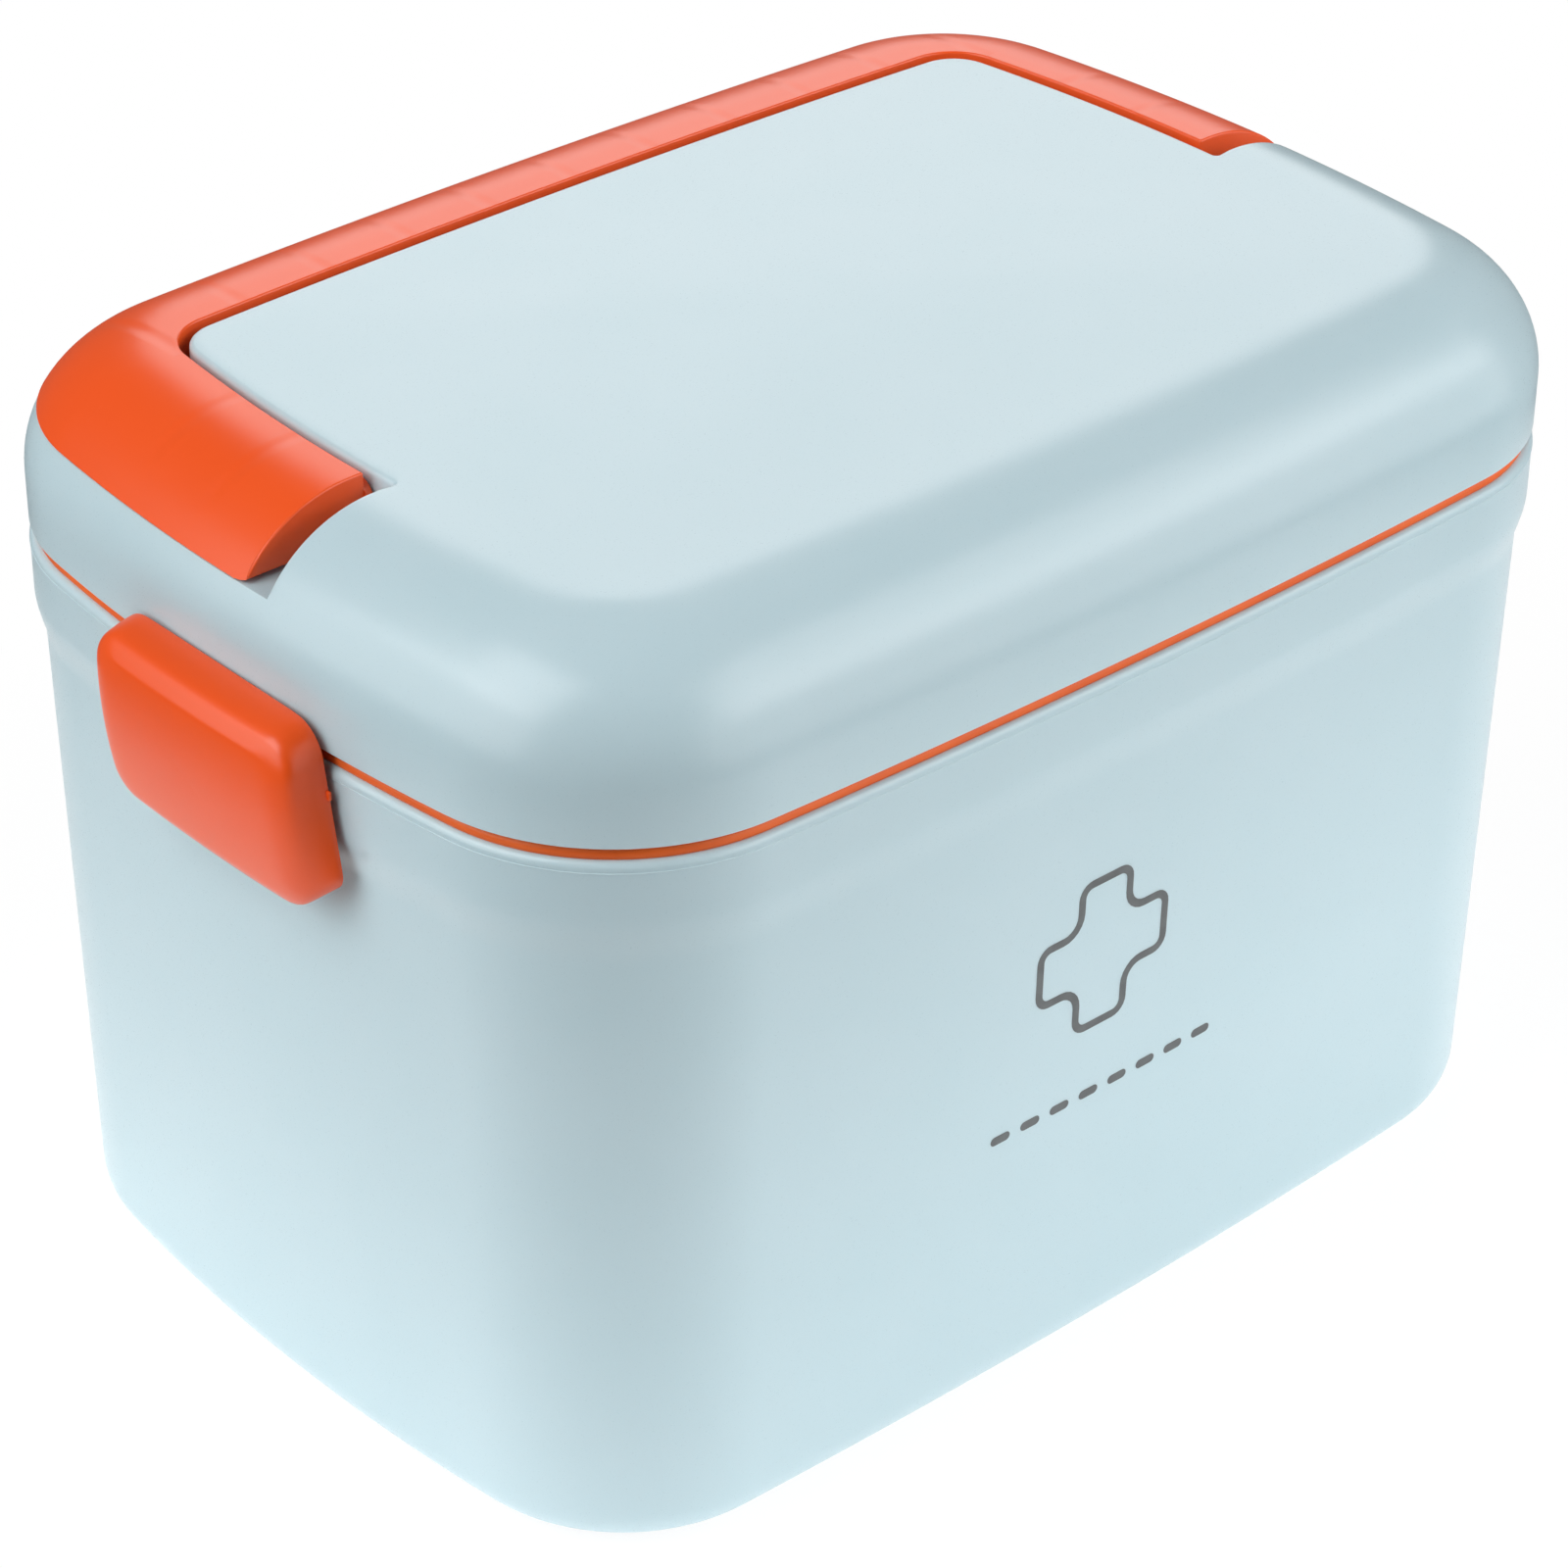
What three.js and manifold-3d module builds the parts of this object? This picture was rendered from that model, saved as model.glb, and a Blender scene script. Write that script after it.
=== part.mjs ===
// Medicine storage box: a tub with a lift-off lid, a folding carry handle,
// two side latches and a lift-out tray. Millimetres, +Z up, front towards -Y.
// The origin is the centre of the base.

import * as THREE from 'three';
import { mergeVertices } from 'three/addons/utils/BufferGeometryUtils.js';
import Module from 'manifold-3d';

const wasm = await Module();
wasm.setup();

// Plan outline at the seam: two long arcs, two short arcs and round corners.
const halfWidth = 118;
const halfDepth = 84.5;
const sideArcRadius = 404;
const frontArcRadius = 1780;
const cornerRadius = 36.9;

// Tub: the offsets are measured outwards from the plan outline.
const rimHeight = 137.1;
const baseFillet = 10;
const baseOffset = -2.7;
const flareDrop = 19.1;
const flareHeight = 8.5;
const flareFootOffset = -0.5;
const bandOffset = 1.1;
const rimFillet = 1.1;
const tubWall = 2.2;
const floorThickness = 2.4;
const innerFillet = 8;
const rimInnerOffset = -3;
const baseRecessInset = 16;
const baseRecessDepth = 1;

// Seal: a flat ring with a foot that sits in a groove of the rim.
const sealThickness = 2.1;
const sealOuterOffset = -0.1;
const sealInnerOffset = -2.8;
const sealFootOuter = -1.1;
const sealFootInner = -2;
const sealFootDepth = 2.4;
const sealClearance = 0.2;

// Lid.
const lidWall = 2.4;
const lidOffset = 0.9;
const lidEdgeFillet = 0.3;
const lidSealGap = 0.3;
const lidBandHeight = 9;
const shoulderWidth = 23.5;
const shoulderHeight = 21;
const crownHeight = 1.2;
const skirtDrop = 5.6;
const skirtThickness = 1.6;
const skirtClearance = 0.4;
const skirtLedge = 3;

// Handle recess around the back and both sides of the raised panel.
const recessDepth = 11.1;
const panelSideInset = 26.9;
const panelBackInset = 28.4;
const panelCornerRadius = 8;
const panelEdgeChamfer = 0.8;
const recessFront = 8.6;
const recessCornerRadius = 5;

// Carry handle: a hollow U-shaped shell, flush with the lid.
const handleBottomGap = 0.3;
const handlePanelGap = 1.7;
const handleEndGap = 5.5;
const handleWall = 2.4;
const handleRibThickness = 1.2;
const handleRibPitch = 18;
const handleRibCount = 7;
const handleArmRibs = [13, 30];
const handleRibLift = 1.6;
const handleEndRadius = 5.8;
const pivotDrop = 4.9;
const pivotFromArmEnd = 2.5;
const pivotBossRadius = 3.9;
const pivotBossReach = 5;
const pivotPinRadius = 1.6;
const pivotPinHeadRadius = 2.2;
const pivotPinHeadThickness = 1.5;
const pivotClearance = 0.3;
const seatGap = 0.3;

// Side latches: u is the distance outwards from the outline at mid side.
const latchRise = 7.4;
const latchHeight = 33;
const latchTopHalfWidth = 25.9;
const latchBottomHalfWidth = 29.4;
const latchTopRadius = 6.5;
const latchBottomRadius = 3.5;
const latchBackLift = 4.8;
const latchBackU = 1.4;
const latchBackFlat = 0.8;
const latchFaceHalfWidth = 25;
const latchFaceDrop = 1.7;
const latchFaceTopRadius = 5.5;
const latchFaceBottomRadius = 5;
const latchDepth = 9.8;
const latchPeakDrop = 9;
const latchFaceRadius = 92;
const latchBowRadius = 420;
const latchEdgeInset = 1.3;
const latchEdgeLower = 1;
const latchEdgeInnerLower = 0.15;
const latchShoulderLower = 2.6;
const latchShoulderShare = 0.55;
const latchCrownShares = [0.78, 0.45, 0.12];
const latchWall = 2.2;
const latchPivotU = 2.2;
const latchPivotLift = 6.5;
const latchPinRadius = 1;
const latchBoreRadius = 1.3;
const latchPinHalfLength = 22.2;
const latchRibInner = 20.4;
const latchRibThickness = 2.2;
const latchRibRise = 4.4;
const lugHalfSpacing = 16;
const lugThickness = 4;
const lugRadius = 1.9;
const lugRoot = 1.6;
const nibHalfWidth = 14;
const nibThickness = 1.6;
const nibTipU = 0.1;
const nibRoot = 1;
const nibDrop = 1.6;
const catchClearance = 0.6;

// Lift-out tray.
const trayDrop = 3.9;
const trayDepth = 38;
const trayFlangeOffset = -3.7;
const trayFlangeThickness = 2;
const trayWallOffset = -7.9;
const trayDraft = 1.5;
const trayWall = 1.8;
const trayFillet = 4;
const partitionThickness = 2;
const partitionDrop = 1;
const archHalfWidth = 34;
const archRise = 20;
const archCornerRadius = 9;
const archThickness = 3;
const slotHalfWidth = 26;
const slotHeight = 13;
const slotBottomAboveRim = 2;

// Loose divider plates and the small ribs that hold them.
const plateThickness = 1.6;
const plateClearance = 0.3;
const slotRibThickness = 1.4;
const slotRibReach = 2.2;
const trayPlateX = 37;
const trayPlateDrop = 5;
const tubPlateHeight = 62;
const tubPlateCorner = 9;

// Ribs inside the tub that carry the tray.
const supportOffset = -7.4;
const supportThickness = 2.4;
const longWallSupportX = 66;
const shortWallSupportY = 28;

// Steps along a quarter of the outline, and along the other round stretches.
const sideSteps = 2;
const cornerSteps = 6;
const frontSteps = 3;
const filletSteps = 4;
const trayFilletSteps = 2;
const flareSteps = 5;
const rimSteps = 3;
const shoulderSteps = 7;
const crownShares = [0.75, 0.45, 0.15];
const bendSteps = 4;
const curveSteps = 5;
const latchCornerSteps = 4;
const latchEdgeSteps = 4;
const pinSides = 16;
const boreSides = 20;
const bossSides = 24;
const armEndSides = 48;

// Colours and finishes.
const paleBlue = new THREE.MeshStandardMaterial({ color: '#c6dbe3', roughness: 0.45 });
const orange = new THREE.MeshStandardMaterial({ color: '#f75c22', roughness: 0.42 });
const sealOrange = new THREE.MeshStandardMaterial({ color: '#ee5f26', roughness: 0.7 });
const trayWhite = new THREE.MeshStandardMaterial({ color: '#e9eef0', roughness: 0.5 });
const steel = new THREE.MeshStandardMaterial({ color: '#b9bdc1', roughness: 0.3, metalness: 1 });

// Heights and places that follow from the sizes above.
const flareBottom = rimHeight - flareDrop;
const lidEdge = rimHeight + sealThickness + lidSealGap;
const shoulderStart = lidEdge + lidBandHeight;
const shoulderTop = shoulderStart + shoulderHeight;
const skirtBottom = lidEdge - skirtDrop;
const skirtOuterOffset = rimInnerOffset - skirtClearance;
const skirtInnerOffset = skirtOuterOffset - skirtThickness;
const recessFloor = shoulderTop - recessDepth;
const panelWallX = halfWidth - panelSideInset;
const handleBottom = recessFloor + handleBottomGap;
const armInnerX = panelWallX + handlePanelGap;
const armEndY = handleEndGap - recessFront;
const pivotHeight = shoulderTop - pivotDrop;
const pivotY = armEndY + pivotFromArmEnd;
const latchTop = rimHeight + latchRise;
const latchBottom = latchTop - latchHeight;
const latchFaceTop = latchTop - latchFaceDrop;
const latchPeakHeight = latchTop - latchPeakDrop;
const latchPivotHeight = latchBottom + latchPivotLift;
const trayTop = rimHeight - trayDrop;
const trayBottom = trayTop - trayDepth;
const trayFloor = trayBottom + trayWall;
const supportTop = trayTop - trayFlangeThickness - seatGap;
const farAway = 2 * halfWidth;
const quarterTurn = Math.PI / 2;

// The plan outline as a form that can be drawn at any offset.
const boxForm = {
  a: halfWidth,
  b: halfDepth,
  sideRadius: sideArcRadius,
  frontRadius: frontArcRadius,
  corner: cornerRadius,
};

// The same form moved inwards by one inset at the sides and another at the back.
function insetForm(form, sideInset, backInset, corner) {
  return {
    a: form.a - sideInset,
    b: form.b - backInset,
    sideRadius: form.sideRadius - sideInset,
    frontRadius: form.frontRadius - backInset,
    corner,
  };
}

// The corner arc's centre touches both long arcs: it lies where two circles cross.
function cornerCentre(form) {
  const first = new THREE.Vector2(form.a - form.sideRadius, 0);
  const second = new THREE.Vector2(0, form.b - form.frontRadius);
  const firstReach = form.sideRadius - form.corner;
  const secondReach = form.frontRadius - form.corner;
  const between = second.clone().sub(first);
  const span = between.length();
  const along = (span * span + firstReach ** 2 - secondReach ** 2) / (2 * span);
  const across = Math.sqrt(firstReach ** 2 - along ** 2);
  const unit = between.divideScalar(span);
  return new THREE.Vector2(
    first.x + unit.x * along - unit.y * across,
    first.y + unit.y * along + unit.x * across,
  );
}

// Points of a quarter of the outline, from the +X axis to the +Y axis.
function quarterOutline(form, offset) {
  const centre = cornerCentre(form);
  const sideCentre = new THREE.Vector2(form.a - form.sideRadius, 0);
  const frontCentre = new THREE.Vector2(0, form.b - form.frontRadius);
  const sideEnd = Math.atan2(centre.y, centre.x - sideCentre.x);
  const frontStart = Math.atan2(centre.y - frontCentre.y, centre.x);
  const points = [];
  const arc = (middle, radius, from, to, steps, first) => {
    for (let i = first; i <= steps; i += 1) {
      const angle = from + ((to - from) * i) / steps;
      points.push(new THREE.Vector2(
        middle.x + radius * Math.cos(angle),
        middle.y + radius * Math.sin(angle),
      ));
    }
  };
  arc(sideCentre, form.sideRadius + offset, 0, sideEnd, sideSteps, 0);
  arc(centre, form.corner + offset, sideEnd, frontStart, cornerSteps, 1);
  arc(frontCentre, form.frontRadius + offset, frontStart, quarterTurn, frontSteps, 1);
  return points;
}

// The whole outline, counter-clockwise seen from above.
function fullOutline(form, offset) {
  const quarter = quarterOutline(form, offset);
  const last = quarter.length - 1;
  const points = quarter.slice();
  for (let i = last - 1; i >= 0; i -= 1) {
    points.push(new THREE.Vector2(-quarter[i].x, quarter[i].y));
  }
  for (let i = 1; i <= last; i += 1) {
    points.push(new THREE.Vector2(-quarter[i].x, -quarter[i].y));
  }
  for (let i = last - 1; i > 0; i -= 1) {
    points.push(new THREE.Vector2(quarter[i].x, -quarter[i].y));
  }
  return points;
}

// Where a wall at this offset stands on the side arc, and on the long arc.
function sideX(form, offset, y) {
  return form.a - form.sideRadius + Math.sqrt((form.sideRadius + offset) ** 2 - y * y);
}

function frontY(form, offset, x) {
  return form.b - form.frontRadius + Math.sqrt((form.frontRadius + offset) ** 2 - x * x);
}

// Solids

function solidFromArrays(vertices, triangles) {
  return new wasm.Manifold(new wasm.Mesh({
    numProp: 3,
    vertProperties: new Float32Array(vertices),
    triVerts: new Uint32Array(triangles),
  }));
}

function solidFromGeometry(geometry) {
  geometry.deleteAttribute('normal');
  geometry.deleteAttribute('uv');
  const merged = mergeVertices(geometry);
  return solidFromArrays(merged.attributes.position.array, merged.index.array);
}

function geometryFromSolid(solid) {
  const mesh = solid.getMesh();
  const indexed = new THREE.BufferGeometry();
  indexed.setAttribute('position', new THREE.BufferAttribute(mesh.vertProperties.slice(), 3));
  indexed.setIndex(new THREE.BufferAttribute(mesh.triVerts.slice(), 1));
  const geometry = indexed.toNonIndexed();
  geometry.computeVertexNormals();
  return geometry;
}

// Joins the rings into a closed skin: between neighbours, and over both ends.
function skinOver(rings, closedLoop) {
  const count = rings[0].length;
  const vertices = rings.flat().flatMap((point) => [point.x, point.y, point.z]);
  const triangles = [];
  const pairs = closedLoop ? rings.length : rings.length - 1;
  for (let level = 0; level < pairs; level += 1) {
    const low = level * count;
    const high = ((level + 1) % rings.length) * count;
    for (let i = 0; i < count; i += 1) {
      const next = (i + 1) % count;
      triangles.push(low + i, low + next, high + next);
      triangles.push(low + i, high + next, high + i);
    }
  }
  if (!closedLoop) {
    const addCap = (ring, start, reversed) => {
      const middle = new THREE.Vector3();
      ring.forEach((point) => middle.add(point));
      middle.divideScalar(count);
      const centre = vertices.length / 3;
      vertices.push(middle.x, middle.y, middle.z);
      for (let i = 0; i < count; i += 1) {
        const next = (i + 1) % count;
        const pair = reversed ? [start + next, start + i] : [start + i, start + next];
        triangles.push(centre, ...pair);
      }
    };
    addCap(rings[0], 0, true);
    addCap(rings[rings.length - 1], (rings.length - 1) * count, false);
  }
  return solidFromArrays(vertices, triangles);
}

// A level is an offset and a height; a share below 1 draws the ring towards the centre.
function ringAt(level) {
  const share = level.share ?? 1;
  return fullOutline(boxForm, level.o).map(
    (point) => new THREE.Vector3(point.x * share, point.y * share, level.z),
  );
}

function stackedSolid(levels) {
  return skinOver(levels.map(ringAt), false);
}

function sweptRing(levels) {
  return skinOver(levels.map(ringAt), true);
}

function box(low, high) {
  const size = high.map((value, i) => value - low[i]);
  const geometry = new THREE.BoxGeometry(...size);
  geometry.translate(...low.map((value, i) => value + size[i] / 2));
  return solidFromGeometry(geometry);
}

// A cylinder along X or Y between two coordinates.
function cylinder(axis, from, to, centre, radius, sides) {
  const geometry = new THREE.CylinderGeometry(radius, radius, Math.abs(to - from), sides);
  if (axis === 'x') {
    geometry.rotateZ(quarterTurn);
    geometry.translate((from + to) / 2, centre[0], centre[1]);
  } else {
    geometry.translate(centre[0], (from + to) / 2, centre[1]);
  }
  return solidFromGeometry(geometry);
}

function extrudedUp(shape, low, high) {
  const geometry = new THREE.ExtrudeGeometry(shape, {
    depth: high - low,
    bevelEnabled: false,
    curveSegments: curveSteps,
  });
  geometry.translate(0, 0, low);
  return solidFromGeometry(geometry);
}

// The same, widening outwards at 45 degrees over its lowest stretch.
function flaredUp(shape, low, high, flare) {
  const geometry = new THREE.ExtrudeGeometry(shape, {
    depth: high - low,
    bevelEnabled: true,
    bevelThickness: flare,
    bevelSize: flare,
    bevelSegments: 1,
    curveSegments: curveSteps,
  });
  geometry.translate(0, 0, low + flare);
  return solidFromGeometry(geometry);
}

// A shape drawn in the XZ plane, extruded along Y between two coordinates.
function extrudedAlongY(shape, from, to) {
  const geometry = new THREE.ExtrudeGeometry(shape, {
    depth: to - from,
    bevelEnabled: false,
    curveSegments: curveSteps,
  });
  geometry.rotateX(quarterTurn);
  geometry.translate(0, to, 0);
  return solidFromGeometry(geometry);
}

// A shape drawn in the YZ plane, extruded along X between two coordinates.
function extrudedAlongX(shape, from, to) {
  const geometry = new THREE.ExtrudeGeometry(shape, {
    depth: to - from,
    bevelEnabled: false,
    curveSegments: curveSteps,
  });
  geometry.rotateX(quarterTurn);
  geometry.rotateZ(quarterTurn);
  geometry.translate(from, 0, 0);
  return solidFromGeometry(geometry);
}

function joined(solids) {
  return solids.reduce((sum, solid) => sum.add(solid));
}

// Turns a solid of the left-hand side half a turn about Z.
function turnedToRight(solid) {
  return solid.rotate([0, 0, 180]);
}

// Levels round a fillet that turns from a floor up into a wall.
function filletLevels(wallOffset, floor, radius, steps) {
  const levels = [];
  for (let i = 0; i <= steps; i += 1) {
    const angle = quarterTurn * (i / steps);
    levels.push({
      o: wallOffset - radius * (1 - Math.sin(angle)),
      z: floor + radius * (1 - Math.cos(angle)),
    });
  }
  return levels;
}

// Tub

function tubOffsetAt(z) {
  const share = (z - baseFillet) / (flareBottom - baseFillet);
  return baseOffset + (flareFootOffset - baseOffset) * share;
}

function tubInnerOffsetAt(z) {
  return Math.min(tubOffsetAt(z) - tubWall, rimInnerOffset);
}

function tubOuterLevels() {
  const levels = filletLevels(baseOffset, 0, baseFillet, filletSteps);
  for (let i = 0; i <= flareSteps; i += 1) {
    const share = i / flareSteps;
    const ease = share * share * (3 - 2 * share);
    levels.push({
      o: flareFootOffset + (bandOffset - flareFootOffset) * ease,
      z: flareBottom + flareHeight * share,
    });
  }
  for (let i = 0; i <= rimSteps; i += 1) {
    const angle = quarterTurn * (i / rimSteps);
    levels.push({
      o: bandOffset - rimFillet * (1 - Math.cos(angle)),
      z: rimHeight - rimFillet * (1 - Math.sin(angle)),
    });
  }
  return levels;
}

function tubInnerLevels() {
  const wallOffset = tubInnerOffsetAt(floorThickness + innerFillet);
  return [
    ...filletLevels(wallOffset, floorThickness, innerFillet, filletSteps),
    { o: rimInnerOffset, z: flareBottom },
    { o: rimInnerOffset, z: farAway },
  ];
}

function sealGroove() {
  const outer = sealFootOuter + sealClearance;
  const inner = sealFootInner - sealClearance;
  const bottom = rimHeight - sealFootDepth - sealClearance;
  return sweptRing([
    { o: outer, z: bottom },
    { o: outer, z: rimHeight + sealThickness },
    { o: inner, z: rimHeight + sealThickness },
    { o: inner, z: bottom },
  ]);
}

// Upright ribs on the tub's inner walls, reaching inwards to supportOffset.
function tubRibs(filledTub) {
  const core = stackedSolid([
    { o: supportOffset, z: 0 },
    { o: supportOffset, z: farAway },
  ]);
  const half = supportThickness / 2;
  const low = floorThickness / 2;
  const bars = [];
  [-longWallSupportX, longWallSupportX].forEach((x) => {
    bars.push(box([x - half, -farAway, low], [x + half, farAway, supportTop]));
  });
  [-shortWallSupportY, shortWallSupportY].forEach((y) => {
    bars.push(box([-farAway, y - half, low], [farAway, y + half, supportTop]));
  });
  const slotHalf = plateThickness / 2 + plateClearance;
  const slotTop = floorThickness + tubPlateHeight;
  [-1, 1].forEach((side) => {
    const edges = [side * slotHalf, side * (slotHalf + slotRibThickness)];
    bars.push(box(
      [Math.min(...edges), -farAway, low],
      [Math.max(...edges), farAway, slotTop],
    ));
  });
  return joined(bars).subtract(core).intersect(filledTub);
}

function latchLugs() {
  const root = -halfWidth + lugRoot;
  const profile = new THREE.Shape();
  profile.moveTo(root, latchPivotHeight - lugRadius);
  profile.lineTo(-halfWidth - latchPivotU, latchPivotHeight - lugRadius);
  profile.absarc(
    -halfWidth - latchPivotU,
    latchPivotHeight,
    lugRadius,
    -quarterTurn,
    quarterTurn,
    true,
  );
  profile.lineTo(root, latchPivotHeight + lugRadius);
  profile.closePath();
  const lugs = [-1, 1].map((side) => {
    const middle = side * lugHalfSpacing;
    return extrudedAlongY(profile, middle - lugThickness / 2, middle + lugThickness / 2);
  });
  return joined(lugs).subtract(latchBore(farAway));
}

function latchBore(halfLength) {
  const centre = [-halfWidth - latchPivotU, latchPivotHeight];
  return cylinder('y', -halfLength, halfLength, centre, latchBoreRadius, boreSides);
}

function makeTub() {
  const filled = stackedSolid(tubOuterLevels());
  const underside = stackedSolid([
    { o: baseOffset - baseRecessInset, z: -farAway },
    { o: baseOffset - baseRecessInset, z: baseRecessDepth },
  ]);
  const leftLugs = latchLugs();
  return filled
    .subtract(stackedSolid(tubInnerLevels()))
    .subtract(sealGroove())
    .subtract(underside)
    .add(tubRibs(filled))
    .add(leftLugs)
    .add(turnedToRight(leftLugs));
}

function makeSeal() {
  const top = rimHeight + sealThickness;
  const seat = rimHeight + sealClearance / 2;
  const footBottom = rimHeight - sealFootDepth;
  return sweptRing([
    { o: sealFootOuter, z: footBottom },
    { o: sealFootOuter, z: seat },
    { o: sealOuterOffset, z: seat },
    { o: sealOuterOffset, z: top },
    { o: sealInnerOffset, z: top },
    { o: sealInnerOffset, z: seat },
    { o: sealFootInner, z: seat },
    { o: sealFootInner, z: footBottom },
  ]);
}

// Lid

// The lid's outer skin above the seam, moved inwards along its normal by a depth.
function shoulderLevels(depth) {
  const levels = [];
  for (let i = 0; i <= shoulderSteps; i += 1) {
    const angle = quarterTurn * (i / shoulderSteps);
    const normal = new THREE.Vector2(
      Math.cos(angle) / shoulderWidth,
      Math.sin(angle) / shoulderHeight,
    ).normalize();
    levels.push({
      o: lidOffset - shoulderWidth * (1 - Math.cos(angle)) - depth * normal.x,
      z: shoulderStart + shoulderHeight * Math.sin(angle) - depth * normal.y,
    });
  }
  const rim = levels[levels.length - 1];
  crownShares.forEach((share) => {
    levels.push({ o: rim.o, z: rim.z + crownHeight * (1 - share * share), share });
  });
  return levels;
}

function lidBlock() {
  return stackedSolid([
    { o: skirtInnerOffset, z: skirtBottom },
    { o: skirtOuterOffset, z: skirtBottom },
    { o: skirtOuterOffset, z: lidEdge },
    { o: lidOffset - lidEdgeFillet, z: lidEdge },
    { o: lidOffset, z: lidEdge + lidEdgeFillet },
    ...shoulderLevels(0),
  ]);
}

function lidCavity() {
  const wallOffset = lidOffset - lidWall;
  return stackedSolid([
    { o: skirtInnerOffset, z: skirtBottom - skirtDrop },
    { o: skirtInnerOffset, z: lidEdge + skirtLedge },
    { o: wallOffset, z: lidEdge + skirtLedge + (wallOffset - skirtInnerOffset) },
    ...shoulderLevels(lidWall),
  ]);
}

// Plan of the handle's zone, open towards the back and the sides. Its front edge
// moves back by frontShift and the panel's wall moves outwards by wallShift.
function handleZone(frontShift, wallShift) {
  const panel = insetForm(
    boxForm,
    panelSideInset - wallShift,
    panelBackInset - wallShift,
    panelCornerRadius + wallShift,
  );
  const front = frontShift - recessFront;
  const bend = Math.max(recessCornerRadius + wallShift - frontShift, 0);
  const wallX = sideX(panel, 0, front + bend);
  const right = [];
  const steps = bend > 0 ? bendSteps : 0;
  for (let i = 0; i <= steps; i += 1) {
    const angle = quarterTurn * (i / bendSteps);
    right.push(new THREE.Vector2(
      wallX + bend * (1 - Math.sin(angle)),
      front + bend * (1 - Math.cos(angle)),
    ));
  }
  right.push(...quarterOutline(panel, 0));
  const left = right.slice(0, -1).map((point) => new THREE.Vector2(-point.x, point.y));
  const shape = new THREE.Shape();
  shape.moveTo(farAway, front);
  shape.lineTo(farAway, farAway);
  shape.lineTo(-farAway, farAway);
  shape.lineTo(-farAway, front);
  left.forEach((point) => shape.lineTo(point.x, point.y));
  right.reverse().forEach((point) => shape.lineTo(point.x, point.y));
  shape.closePath();
  return shape;
}

// The shallow groove in the lid's outer wall that the left latch's nib enters.
function catchGroove() {
  return box(
    [-halfWidth - farAway, -nibHalfWidth - catchClearance, skirtBottom],
    [
      -halfWidth - nibTipU + catchClearance,
      nibHalfWidth + catchClearance,
      latchTop - nibDrop + catchClearance,
    ],
  );
}

function makeLid() {
  const recess = extrudedUp(handleZone(0, 0), recessFloor, farAway).add(
    flaredUp(handleZone(0, 0), shoulderTop - panelEdgeChamfer, farAway, panelEdgeChamfer),
  );
  const recessWalls = extrudedUp(
    handleZone(-lidWall, -lidWall),
    recessFloor - lidWall,
    farAway,
  );
  const pinHoles = cylinder(
    'x',
    -panelWallX - lidWall,
    panelWallX + lidWall,
    [pivotY, pivotHeight],
    pivotPinRadius + pivotClearance,
    bossSides,
  );
  const leftCatch = catchGroove();
  return lidBlock()
    .subtract(lidCavity().subtract(recessWalls))
    .subtract(recess)
    .subtract(pinHoles)
    .subtract(leftCatch)
    .subtract(turnedToRight(leftCatch));
}

// Carry handle

function handleRibs(block) {
  const low = handleBottom + handleRibLift;
  const half = handleRibThickness / 2;
  const ribs = handleArmRibs.map(
    (y) => box([-farAway, y - half, low], [farAway, y + half, farAway]),
  );
  const backStart = halfDepth - panelBackInset;
  for (let i = 0; i < handleRibCount; i += 1) {
    const x = (i - (handleRibCount - 1) / 2) * handleRibPitch;
    ribs.push(box([x - half, backStart, low], [x + half, farAway, farAway]));
  }
  return joined(ribs).intersect(block);
}

function makeHandle() {
  const block = lidBlock().intersect(
    extrudedUp(handleZone(handleEndGap, handlePanelGap), handleBottom, farAway),
  );
  const hollow = stackedSolid([
    { o: lidOffset - handleWall, z: 0 },
    ...shoulderLevels(handleWall),
  ]).intersect(extrudedUp(
    handleZone(handleEndGap + handleWall, handlePanelGap + handleWall),
    0,
    farAway,
  ));
  const pivot = [pivotY, pivotHeight];
  const endCut = box(
    [-farAway, -farAway, 0],
    [farAway, pivotY, pivotHeight],
  ).subtract(cylinder('x', -farAway, farAway, pivot, handleEndRadius, armEndSides));
  const bossStart = panelWallX + seatGap;
  const bossEnd = armInnerX + pivotBossReach;
  const bosses = [-1, 1].map((side) => {
    const ends = [side * bossStart, side * bossEnd];
    const boss = cylinder('x', ...ends, pivot, pivotBossRadius, bossSides);
    const edges = [side * armInnerX, side * farAway];
    return boss.subtract(box(
      [Math.min(...edges), -farAway, 0],
      [Math.max(...edges), armEndY, farAway],
    ));
  });
  const bore = cylinder(
    'x',
    -bossEnd + handleWall / 2,
    bossEnd - handleWall / 2,
    pivot,
    pivotPinRadius + pivotClearance,
    bossSides,
  );
  return block
    .subtract(hollow)
    .add(handleRibs(block))
    .subtract(endCut)
    .add(joined(bosses))
    .subtract(bore);
}

// The pin's head lies inside the lid; its shank runs through the wall into the boss.
function makeHandlePin() {
  const headFace = -panelWallX + lidWall + seatGap;
  const headEnd = headFace + pivotPinHeadThickness;
  const tip = -armInnerX - pivotBossReach + handleWall / 2 + seatGap;
  const centre = [pivotY, pivotHeight];
  return cylinder('x', tip, headFace, centre, pivotPinRadius, bossSides).add(
    cylinder('x', headFace, headEnd, centre, pivotPinHeadRadius, bossSides),
  );
}

// Latches

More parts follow.
